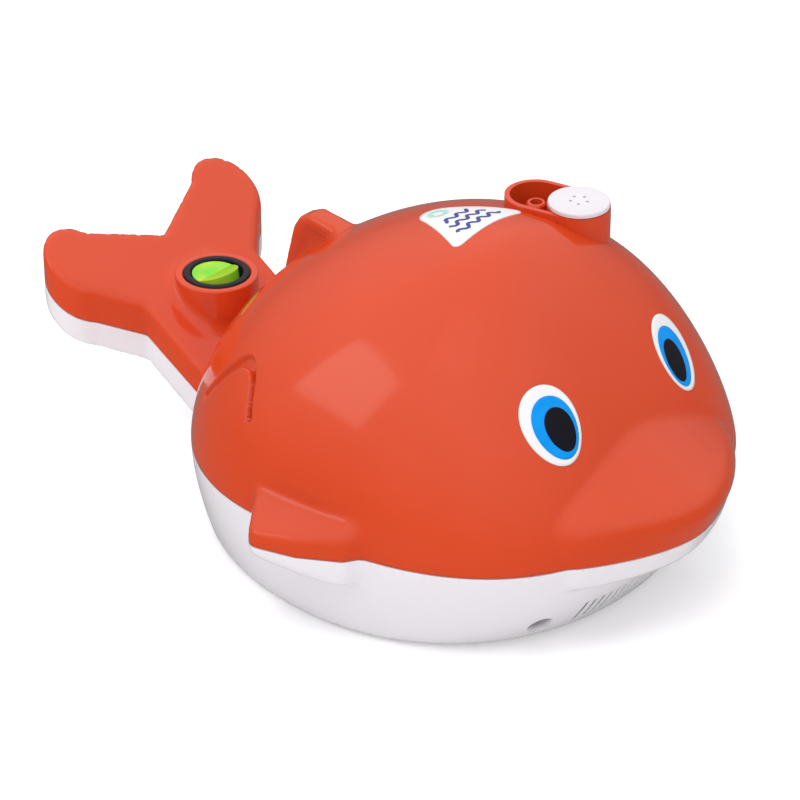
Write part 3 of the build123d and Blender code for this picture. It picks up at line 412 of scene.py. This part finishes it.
def refine(points, faces, wanted, cuts):
    """Divides the edges whose two ends satisfy wanted; neighbouring faces take the new corners."""
    mesh = bpy.data.meshes.new("refine")
    mesh.from_pydata(points.tolist(), [], [tuple(int(i) for i in f) for f in faces])
    bm = bmesh.new()
    bm.from_mesh(mesh)
    bm.verts.ensure_lookup_table()
    mark = wanted(np.array([v.co[:] for v in bm.verts]))
    chosen = [e for e in bm.edges if mark[e.verts[0].index] and mark[e.verts[1].index]]
    bmesh.ops.subdivide_edges(bm, edges=chosen, cuts=cuts, use_grid_fill=True)
    bm.verts.index_update()
    finer = np.array([v.co[:] for v in bm.verts])
    finer_faces = [tuple(v.index for v in f.verts) for f in bm.faces]
    bm.free()
    bpy.data.meshes.remove(mesh)
    return finer, finer_faces


def band_faces(rows, steps):
    """Quads between closed rows of points that follow each other."""
    return [
        (row * steps + k, row * steps + (k + 1) % steps, (row + 1) * steps + (k + 1) % steps,
         (row + 1) * steps + k)
        for row in range(rows - 1) for k in range(steps)
    ]


def add_piece(name, points, faces, material, wall=0.0):
    """Smooth-shaded piece on the case, with a wall grown inwards where one is given."""
    mesh = bpy.data.meshes.new(name)
    mesh.from_pydata((np.asarray(points) * MM).tolist(), [], [tuple(int(i) for i in f) for f in faces])
    mesh.validate()
    mesh.update()
    mesh.shade_smooth()
    mesh.materials.append(material)
    obj = bpy.data.objects.new(name, mesh)
    bpy.context.scene.collection.objects.link(obj)
    if wall:
        thick = obj.modifiers.new("wall", "SOLIDIFY")
        thick.thickness = wall * MM
        thick.offset = -1
    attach(obj, "case")
    return obj


# ---------------------------------------------------------------- materials
def noise(tree, scale, detail):
    """Noise over the object's own coordinates."""
    where = tree.nodes.new("ShaderNodeTexCoord")
    node = tree.nodes.new("ShaderNodeTexNoise")
    node.inputs["Scale"].default_value = scale
    node.inputs["Detail"].default_value = detail
    tree.links.new(where.outputs["Object"], node.inputs["Vector"])
    return node.outputs["Fac"]


def ramp(tree, factor, *stops):
    """Colour ramp between two stops, each a position and a colour."""
    node = tree.nodes.new("ShaderNodeValToRGB")
    for element, (position, color) in zip(node.color_ramp.elements, stops):
        element.position = position
        element.color = (*color, 1)
    tree.links.new(factor, node.inputs["Fac"])
    return node.outputs["Color"]


def plastic(name, color, rough=0.22, coat=0.0, grain=0.02, shift=0.03, scale=180.0, transmission=0.0,
            metal=0.0, clouds=14.0, specular=0.5, tint=None):
    """Moulded surface: cloudy colour, uneven roughness, fine bump and paler worn edges."""
    mat = bpy.data.materials.new(name)
    mat.use_nodes = True
    tree = mat.node_tree
    shader = tree.nodes["Principled BSDF"]
    shader.inputs["Metallic"].default_value = metal
    shader.inputs["Specular IOR Level"].default_value = specular
    shader.inputs["Coat Weight"].default_value = coat
    shader.inputs["Coat Roughness"].default_value = 0.06
    shader.inputs["Transmission Weight"].default_value = transmission
    low = [max(0, c * (1 - shift)) for c in color]
    high = tint or [min(1, c * (1 + shift) + 0.004) for c in color]
    tone = ramp(tree, noise(tree, clouds, 5), (0.3, low), (0.7, high))
    pointed = tree.nodes.new("ShaderNodeNewGeometry").outputs["Pointiness"]
    edge = ramp(tree, pointed, (0.56, (0, 0, 0)), (0.70, (0.35, 0.35, 0.35)))
    mix = tree.nodes.new("ShaderNodeMix")
    mix.data_type = "RGBA"
    mix.inputs["B"].default_value = (*[min(1, c * 1.12 + 0.03) for c in color], 1)
    tree.links.new(edge, mix.inputs["Factor"])
    tree.links.new(tone, mix.inputs["A"])
    tree.links.new(mix.outputs["Result"], shader.inputs["Base Color"])
    fine = noise(tree, scale, 4)
    spread = tree.nodes.new("ShaderNodeMapRange")
    spread.inputs["To Min"].default_value = rough * 0.82
    spread.inputs["To Max"].default_value = rough * 1.25
    tree.links.new(fine, spread.inputs["Value"])
    tree.links.new(spread.outputs["Result"], shader.inputs["Roughness"])
    bump = tree.nodes.new("ShaderNodeBump")
    bump.inputs["Strength"].default_value = grain
    bump.inputs["Distance"].default_value = 0.0004
    tree.links.new(fine, bump.inputs["Height"])
    tree.links.new(bump.outputs["Normal"], shader.inputs["Normal"])
    return mat


MATERIALS = {
    "red_plastic": plastic("red_gloss", (0.66, 0.058, 0.011), rough=0.12, coat=0.08, grain=0.010),
    "white_plastic": plastic("white_gloss", (0.82, 0.79, 0.83), rough=0.20, coat=0.1, grain=0.012,
                             shift=0.012),
    "eye_print": plastic("eye_white", (0.88, 0.87, 0.89), rough=0.15, grain=0.006, shift=0.01),
    "label_print": plastic("label_white", (0.88, 0.88, 0.90), rough=0.25, grain=0.03, shift=0.015),
    "grey_rubber": plastic("rubber_grey", (0.16, 0.16, 0.17), rough=0.75, grain=0.35, shift=0.15),
    "black_rubber": plastic("rubber_black", (0.02, 0.02, 0.02), rough=0.7, grain=0.4, shift=0.2),
    "hose_rubber": plastic("silicone", (0.66, 0.65, 0.60), rough=0.35, grain=0.1, transmission=0.2),
    "steel": plastic("zinc_steel", (0.60, 0.60, 0.61), rough=0.32, metal=1.0, grain=0.15, scale=420,
                     shift=0.12),
    "core_steel": plastic("lamination_steel", (0.22, 0.22, 0.24), rough=0.45, metal=1.0, grain=0.4,
                          scale=300),
    "cast_metal": plastic("die_cast", (0.62, 0.62, 0.63), rough=0.42, metal=1.0, grain=0.35, scale=350),
    "brass": plastic("brass", (0.74, 0.52, 0.20), rough=0.28, metal=1.0, grain=0.1, shift=0.12),
    "copper": plastic("copper_wire", (0.68, 0.30, 0.14), rough=0.30, metal=1.0, grain=0.5, scale=500,
                      shift=0.15),
    "pale_plastic": plastic("cap_plastic", (0.78, 0.74, 0.78), rough=0.30, grain=0.05, shift=0.02),
    "felt": plastic("felt", (0.80, 0.79, 0.74), rough=0.95, grain=0.9, scale=700, shift=0.10),
    "black_plastic": plastic("black_satin", (0.012, 0.010, 0.018), rough=0.34, grain=0.08, shift=0.25,
                             specular=0.18),
    "bobbin_plastic": plastic("nylon", (0.70, 0.66, 0.52), rough=0.45, grain=0.15, shift=0.06),
    "green_lens": plastic("green_lens", (0.10, 0.78, 0.03), rough=0.16, grain=0.02, transmission=0.15,
                          specular=0.25, tint=(0.62, 0.80, 0.04), clouds=110),
    "wire_brown": plastic("wire_brown", (0.16, 0.07, 0.03), rough=0.45, grain=0.1, shift=0.1),
    "wire_blue": plastic("wire_blue", (0.03, 0.09, 0.38), rough=0.45, grain=0.1, shift=0.1),
}
IRIS_BLUE = plastic("iris_blue", (0.0, 0.30, 0.86), rough=0.15, grain=0.006, shift=0.06, clouds=120,
                    specular=0.15)
PUPIL_BLACK = plastic("pupil_black", (0.004, 0.003, 0.008), rough=0.15, grain=0.006, specular=0.15)
MOTIF_BLUE = plastic("motif_blue", (0.050, 0.055, 0.30), rough=0.30, grain=0.02)
MOTIF_MINT = plastic("motif_mint", (0.42, 0.78, 0.68), rough=0.30, grain=0.02)
# painted shade: colour of the dark sheet that stands in for the shade inside the air slots
SLOT_SHADE = plastic("slot_painted_shade", (0.16, 0.15, 0.17), rough=0.8, grain=0.5, scale=900, shift=0.3)


def paint_cad_nodes():
    slot_of = {s["node"]: s["material_slot"] for s in frame["record"]["subparts"]}
    for node, obj in frame["nodes"].items():
        obj.data.materials.clear()
        obj.data.materials.append(MATERIALS[slot_of[node]])


# ---------------------------------------------------------------- openings and the arch
def smooth_path(corners):
    """Points of a smooth curve through all the corners."""
    steps = 8
    corners = np.array(corners, float)
    ends = np.concatenate((2 * corners[:1] - corners[1:2], corners, 2 * corners[-1:] - corners[-2:-1]))
    out = []
    for a, b, c, d in zip(ends, ends[1:], ends[2:], ends[3:]):
        for t in np.arange(steps) / steps:
            bend = 2 * a - 5 * b + 4 * c - d + t * (3 * (b - c) + d - a)
            out.append(b + 0.5 * t * (c - a + t * bend))
    return np.array(out + [corners[-1]])


ARCH = smooth_path(ARCH_CORNERS)


def arch_distance(points):
    best = np.full(len(points), 1e9)
    for a, b in zip(ARCH[:-1], ARCH[1:]):
        e = b - a
        t = np.clip((points - a) @ e / (e @ e), 0, 1)
        best = np.minimum(best, np.linalg.norm(points - a - t[:, None] * e, axis=1))
    return best


def press_arch(points):
    """Presses the arch into the right flank: a soft groove that turns into a deep slit."""
    y = points[:, 1]
    slit = np.clip((SLIT_Y - y) / 4.0, 0, 1)
    scoop = np.clip(1 - np.abs(y - SCOOP_Y) / 6.0, 0, 1)
    half = ARCH_HALF + 0.8 * scoop - 0.45 * slit
    edge = 0.9 - 0.6 * slit
    depth = (ARCH_DEPTH + SLIT_DEPTH * slit) * np.clip((half - arch_distance(points)) / edge, 0, 1)
    return points - normals(case_field, points) * depth[:, None]


def slot_field(points):
    """Distance to the upright air slots under the jaw, seen from the front."""
    x, y, z = points.T
    best = np.full(x.shape, 1e9)
    for k in range(SLOTS):
        mid_x = (k - SLOTS // 2) * SLOT_PITCH
        inner = SLOT_REACH - abs(mid_x)
        mid_z = SLOT_Z + 0.04 * inner
        along = (x - mid_x) * math.cos(SLOT_TURN) + (z - mid_z) * math.sin(SLOT_TURN)
        across = -(x - mid_x) * math.sin(SLOT_TURN) + (z - mid_z) * math.cos(SLOT_TURN)
        past = np.maximum(np.abs(along) - SLOT_HALF_LENGTH + 0.045 * inner, 0)
        best = np.minimum(best, np.hypot(across, past) - SLOT_HALF)
    return np.where((y < -60) & (z > 2), best, FAR)


def jaw_hole_field(points):
    side = points - JAW_HOLE
    side = side - (side @ JAW_HOLE_OUT)[:, None] * JAW_HOLE_OUT
    return np.where(points[:, 1] < -60, np.linalg.norm(side, axis=1) - JAW_HOLE_R, FAR)


def inlet_field(points):
    x, y, z = points.T
    field = np.maximum(np.abs(y - INLET_Y) - INLET_HALF[0], np.abs(z - INLET_Z) - INLET_HALF[1])
    return np.where(x > 60, field, FAR)


def top_openings(points):
    """Holes of the upper shell: one for the switch and one under the turret."""
    x, y, z = points.T
    switch = np.where((z > 45) & (y > 60), np.hypot(x, y - BOSS_Y) - SWITCH_HOLE_R, FAR)
    span = TURRET_SOCKET - TURRET_WELL
    from_well = points[:, :2] - TURRET_WELL
    t = np.clip(from_well @ span / (span @ span), 0, 1)
    turret = np.linalg.norm(from_well - t[:, None] * span, axis=1) - TURRET_HALF
    return np.minimum(switch, np.where(z > TURRET_LOW_Z, turret, FAR))


def near_details(points):
    x, y, z = points.T
    vents = (y < -80) & (z < 20) & (np.abs(x) < 34)
    hole = (y < -80) & (np.linalg.norm(points - JAW_HOLE, axis=1) < 8)
    inlet = (x > 60) & (np.abs(y - INLET_Y) < 14) & (np.abs(z - INLET_Z) < 9)
    switch = (z > 45) & (y > 60) & (np.hypot(x, y - BOSS_Y) < 12)
    return vents | hole | inlet | switch | (arch_distance(points) < 3.5)


def parting(y):
    """Height of the line between the two shells, which climbs along the tail."""
    return np.interp(y, (50, 60, 72, 140), (PARTING_Z, 18.5, 25.5, 64.5))


# ---------------------------------------------------------------- case pieces
def case_surface():
    """Surface of the whole case, with finer faces round its details."""
    points, faces = net_surface(case_field, GRID_LOW, GRID_HIGH, GRID)
    points = onto_surface(case_field, points, 4)
    points, faces = refine(points, faces, near_details, 3)
    return onto_surface(case_field, points, 2), faces


def case_top(points, faces):
    points, faces = clip(points, faces, points[:, 2] - parting(points[:, 1]) - GAP)
    points, faces = clip(points, faces, top_openings(points))
    points = press_arch(points)
    shell = add_piece("case_top", points, faces, MATERIALS["red_plastic"], SHELL_WALL)
    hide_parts("top_shell")


def case_base(points, faces):
    points, faces = clip(points, faces, parting(points[:, 1]) - points[:, 2] - GAP)
    for opening in (slot_field, jaw_hole_field, inlet_field):
        points, faces = clip(points, faces, opening(points))
    shell = add_piece("case_base", points, faces, MATERIALS["white_plastic"], SHELL_WALL)
    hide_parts("base_shell")


def slot_shade_liner(points, faces):
    """Dark sheet close behind the air slots: painted shade that makes the slots look dark inside."""
    x, y, z = points.T
    band = np.minimum(30.0 - np.abs(x), 7.2 - np.abs(z - 10.6))
    points, faces = clip(points, faces, np.minimum(band, -80.0 - y))
    points = points - normals(case_field, points) * SLOT_SHADE_DEPTH
    add_piece("slot_shade_liner", points, faces, SLOT_SHADE, SLOT_SHADE_WALL)


def jaw_cup():
    """Blind cup behind the round hole under the jaw, cut off just inside the case."""
    around = np.linspace(0, 2 * math.pi, CUP_STEPS + 1)[:-1, None]
    up = np.array((0, 0, 1.0))
    ring = (np.cos(around) * np.cross(JAW_HOLE_OUT, up) + np.sin(around) * up) * JAW_HOLE_R
    rows = np.linspace(-CUP_DEPTH, 4, 21)
    points = np.concatenate([JAW_HOLE + JAW_HOLE_OUT * row + ring for row in rows])
    points = np.concatenate((points, [JAW_HOLE - CUP_DEPTH * JAW_HOLE_OUT]))
    faces = band_faces(len(rows), CUP_STEPS)
    faces += [(len(points) - 1, (k + 1) % CUP_STEPS, k) for k in range(CUP_STEPS)]
    points, faces = clip(points, faces, -0.5 - case_field(*points.T))
    add_piece("jaw_cup", points, faces, MATERIALS["white_plastic"], CUP_WALL)


def switch_ring(name, slot_name, r_in, r_out, z_low, z_high):
    """Ring about the switch's upright axis, its top rim rounded on both sides."""
    round_r = 0.7
    profile = [(r_out, z_low)]
    for middle, first in ((r_out - round_r, 0), (r_in + round_r, 1)):
        for k in range(7):
            a = math.pi / 2 * (first + k / 6)
            profile.append((middle + round_r * math.cos(a), z_high - round_r + round_r * math.sin(a)))
    profile += [(r_in, z_low), (r_out, z_low)]
    turns = [2 * math.pi * k / TURN_STEPS for k in range(TURN_STEPS)]
    points = [(r * math.cos(a), BOSS_Y + r * math.sin(a), z) for r, z in profile for a in turns]
    return add_piece(name, points, band_faces(len(profile), TURN_STEPS), MATERIALS[slot_name])


# ---------------------------------------------------------------- eyes and label
def drop_onto_body(spots, outward):
    """Slides points along one direction until they lie on the body; also gives its normals."""
    for _ in range(25):
        slope = gradient(body_field, spots) @ outward
        step = body_field(*spots.T) / np.maximum(slope, 0.2)
        spots = spots - np.clip(step, -3, 3)[:, None] * outward
    return spots, normals(body_field, spots)


def patch(name, outline, origin, outward, right, lift, material):
    """Thin printed patch on the case: an outline in the tangent plane, laid on the surface."""
    rings = 14
    outward = np.array(outward, float)
    outward /= np.linalg.norm(outward)
    right = np.array(right, float)
    right -= outward * (right @ outward)
    right /= np.linalg.norm(right)
    up = np.cross(outward, right)
    outline = np.array(outline, float)
    middle = outline.mean(0)
    flat = [middle]
    for k in range(1, rings + 1):
        flat.extend(middle + (outline - middle) * k / rings)
    flat = np.array(flat)
    spots = np.array(origin, float) + flat[:, :1] * right + flat[:, 1:] * up
    spots, normal = drop_onto_body(spots, outward)
    n = len(outline)
    faces = [(0, 1 + k, 1 + (k + 1) % n) for k in range(n)]
    for row in range(rings - 1):
        a, b = 1 + row * n, 1 + (row + 1) * n
        faces += [(a + k, b + k, b + (k + 1) % n, a + (k + 1) % n) for k in range(n)]
    points = np.concatenate((spots + normal * lift, spots[-n:] - normal[-n:] * 0.3))
    rim, skirt = 1 + (rings - 1) * n, len(spots)
    faces += [(rim + k, skirt + k, skirt + (k + 1) % n, rim + (k + 1) % n) for k in range(n)]
    return add_piece(name, points, faces, material)


def egg(half_width, half_height, centre):
    """Oval outline that leans and is a little wider at its top."""
    count, taper = 72, -0.10
    out = []
    for k in range(count):
        a = 2 * math.pi * k / count
        u = half_width * math.cos(a) * (1 - taper * math.sin(a))
        v = half_height * math.sin(a)
        out.append((centre[0] + u * math.cos(EYE_LEAN) - v * math.sin(EYE_LEAN),
                    centre[1] + u * math.sin(EYE_LEAN) + v * math.cos(EYE_LEAN)))
    return out


def add_eye(side, name, half_width):
    """White, iris and pupil, each laid on the one before; side is -1 on the whale's right."""
    origin = (side * EYE_CENTRE[0], *EYE_CENTRE[1:])
    outward = (side * EYE_OUT[0], *EYE_OUT[1:])
    right = (-outward[1], outward[0], 0)
    layers = (
        ("eye_white_", (half_width, EYE_HALF_HEIGHT), (0.0, 0.0), FILM_LIFT, MATERIALS["eye_print"]),
        ("eye_iris_", (half_width * 0.76, 10.4), (-1.1, -1.0), 0.42, IRIS_BLUE),
        ("eye_pupil_", (half_width * 0.50, 7.3), (-2.4, -1.9), 0.52, PUPIL_BLACK),
    )
    for kind, size, centre, lift, material in layers:
        outline = [(side * u, v) for u, v in egg(*size, centre)][::side]
        piece = patch(kind + name, outline, origin, outward, right, lift, material)
        if kind == "eye_white_":
            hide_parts("eye_" + name)


def corner_arc(before, corner, after, radius):
    """Points of the arc that rounds one corner of an outline."""
    steps = 10
    corner = np.array(corner, float)
    a, b = np.array(before, float) - corner, np.array(after, float) - corner
    a, b = a / np.linalg.norm(a), b / np.linalg.norm(b)
    half = math.acos(np.clip(a @ b, -1, 1)) / 2
    middle = corner + (a + b) / np.linalg.norm(a + b) * radius / math.sin(half)
    start = corner + a * radius / math.tan(half) - middle
    stop = corner + b * radius / math.tan(half) - middle
    first = math.atan2(start[1], start[0])
    sweep = (math.atan2(stop[1], stop[0]) - first + math.pi) % (2 * math.pi) - math.pi
    turns = [first + sweep * t / steps for t in range(steps + 1)]
    return [(middle[0] + radius * math.cos(a), middle[1] + radius * math.sin(a)) for a in turns]


def rounded_polygon(corners, radii):
    """Closed outline whose corners are arcs, with points at least every 1.2 mm or so."""
    out = []
    for k, radius in enumerate(radii):
        out += corner_arc(corners[k - 1], corners[k], corners[(k + 1) % len(corners)], radius)
    dense = []
    for a, b in zip(out, out[1:] + out[:1]):
        parts = max(1, round(math.dist(a, b) / 1.2))
        dense += [(a[0] + (b[0] - a[0]) * t / parts, a[1] + (b[1] - a[1]) * t / parts) for t in range(parts)]
    return dense


def label_mark(number, path, width, material):
    """Printed stroke on the label, along a path in plan."""
    along = np.gradient(path, axis=0)
    across = np.stack((-along[:, 1], along[:, 0]), 1) / np.linalg.norm(along, axis=1)[:, None]
    both = np.concatenate((path + across * width / 2, (path - across * width / 2)[::-1]))
    spots = np.column_stack((both, np.full(len(both), float(LABEL_CENTRE[2]))))
    spots, normal = drop_onto_body(spots, np.array((0, 0, 1.0)))
    n = len(both)
    faces = [(i + 1, i, n - 1 - i, n - 2 - i) for i in range(len(path) - 1)]
    add_piece(f"label_mark_{number}", spots + normal * MARK_LIFT, faces, material)


def label():
    """Label patch with three waves and a ring."""
    outline = rounded_polygon(LABEL_CORNERS, LABEL_RADII)
    film = patch("label_film", outline, LABEL_CENTRE, (0, 0, 1), (1, 0, 0), FILM_LIFT,
                 MATERIALS["label_print"])
    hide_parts("label")
    for k in range(WAVES):
        half = WAVE_HALF - WAVE_TAPER * k
        x = np.linspace(-half, half, 60)
        y = WAVE_Y + WAVE_PITCH * k + WAVE_HEIGHT * np.sin(x * 1.3)
        label_mark(k + 1, np.column_stack((x, y)), WAVE_WIDTH, MOTIF_BLUE)
    turn = np.linspace(0, 2 * math.pi, 40)
    ring = np.column_stack((RING_R * np.cos(turn), RING_Y + RING_R * np.sin(turn)))
    label_mark(WAVES + 1, ring, RING_WIDTH, MOTIF_MINT)


# ---------------------------------------------------------------- stage, in metres
FLOOR_HALF = 6.0
FLOOR_GLOW = 0.17
HORIZON_LIGHT = 0.20
OVERHEAD_LIGHT = 0.92
LIGHTS = (
    # name, place, aim, size, power, seen in reflections
    ("key", (-0.5, -0.2, 1.3), (0, 0, 0.05), (0.7, 0.7), 6.5, False),
    ("fill", (-0.9, -1.1, 0.7), (0, 0, 0.05), (0.5, 0.7), 0.6, False),
    ("back", (0.7, 0.9, 0.9), (0, 0, 0.05), (0.7, 0.5), 3.0, False),
    ("window", (-1.04, 0.73, 0.95), (-0.06, 0.02, 0.06), (0.72, 0.56), 1.3, True),
)
CAMERA_AIM = (0, 0.0018, 0.0363)
CAMERA_AZIMUTH = math.radians(-48.2)
CAMERA_ELEVATION = math.radians(30.8)
CAMERA_DISTANCE = 1.2
CAMERA_LENS = 162.45


def add_to_scene(obj, place, facing):
    """Places a light or a camera so that it looks along facing."""
    obj.location = place
    obj.rotation_mode = "QUATERNION"
    obj.rotation_quaternion = facing.to_track_quat("-Z", "Y")
    bpy.context.scene.collection.objects.link(obj)


def white_floor():
    half = FLOOR_HALF
    mesh = bpy.data.meshes.new("floor")
    mesh.from_pydata([(-half, -half, 0), (half, -half, 0), (half, half, 0), (-half, half, 0)], [],
                     [(0, 1, 2, 3)])
    floor = bpy.data.objects.new("floor", mesh)
    bpy.context.scene.collection.objects.link(floor)
    mat = bpy.data.materials.new("floor_white")
    mat.use_nodes = True
    shader = mat.node_tree.nodes["Principled BSDF"]
    shader.inputs["Base Color"].default_value = (0.96, 0.96, 0.96, 1)
    shader.inputs["Roughness"].default_value = 0.6
    shader.inputs["Specular IOR Level"].default_value = 0.1
    shader.inputs["Emission Color"].default_value = (1, 1, 1, 1)
    shader.inputs["Emission Strength"].default_value = FLOOR_GLOW
    mesh.materials.append(mat)
    floor.visible_glossy = False


def soft_world():
    """White surroundings, brighter overhead than at the horizon."""
    world = bpy.data.worlds.new("studio")
    world.use_nodes = True
    sky = world.node_tree
    where = sky.nodes.new("ShaderNodeTexCoord")
    height = sky.nodes.new("ShaderNodeSeparateXYZ")
    strength = sky.nodes.new("ShaderNodeMapRange")
    strength.inputs["From Max"].default_value = 0.7
    strength.inputs["To Min"].default_value = HORIZON_LIGHT
    strength.inputs["To Max"].default_value = OVERHEAD_LIGHT
    sky.links.new(where.outputs["Generated"], height.inputs["Vector"])
    sky.links.new(height.outputs["Z"], strength.inputs["Value"])
    sky.links.new(strength.outputs["Result"], sky.nodes["Background"].inputs["Strength"])
    sky.nodes["Background"].inputs["Color"].default_value = (1, 1, 1, 1)
    bpy.context.scene.world = world


def area_light(name, place, aim, size, power, mirrored):
    light = bpy.data.lights.new(name, "AREA")
    light.shape = "RECTANGLE"
    light.size, light.size_y = size
    light.energy = power
    obj = bpy.data.objects.new(name, light)
    obj.visible_glossy = mirrored
    add_to_scene(obj, place, Vector(aim) - Vector(place))


def add_camera():
    camera = bpy.data.cameras.new("camera")
    camera.lens = CAMERA_LENS
    camera.sensor_width = 36
    camera.clip_end = 20
    level = math.cos(CAMERA_ELEVATION)
    back = Vector((math.sin(CAMERA_AZIMUTH) * level, -math.cos(CAMERA_AZIMUTH) * level,
                   math.sin(CAMERA_ELEVATION)))
    obj = bpy.data.objects.new("camera", camera)
    add_to_scene(obj, Vector(CAMERA_AIM) + back * CAMERA_DISTANCE, -back)
    bpy.context.scene.camera = obj


# ---------------------------------------------------------------- build
paint_cad_nodes()
whole_case = case_surface()
case_top(*whole_case)
case_base(*whole_case)
slot_shade_liner(*whole_case)
jaw_cup()
switch_ring("boss_ring", "red_plastic", BEZEL_R + 0.15, BOSS_R, BOSS_TOP - 10.0, BOSS_TOP)
bezel = switch_ring("bezel_ring", "black_plastic", 9.0, BEZEL_R, BOSS_TOP - 1.8, BOSS_TOP + 0.3)
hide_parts("switch_bezel")
add_eye(-1, "right", RIGHT_EYE_HALF)
add_eye(1, "left", LEFT_EYE_HALF)
label()

white_floor()
soft_world()
for light in LIGHTS:
    area_light(*light)
bpy.context.scene.view_settings.view_transform = "Standard"
add_camera()
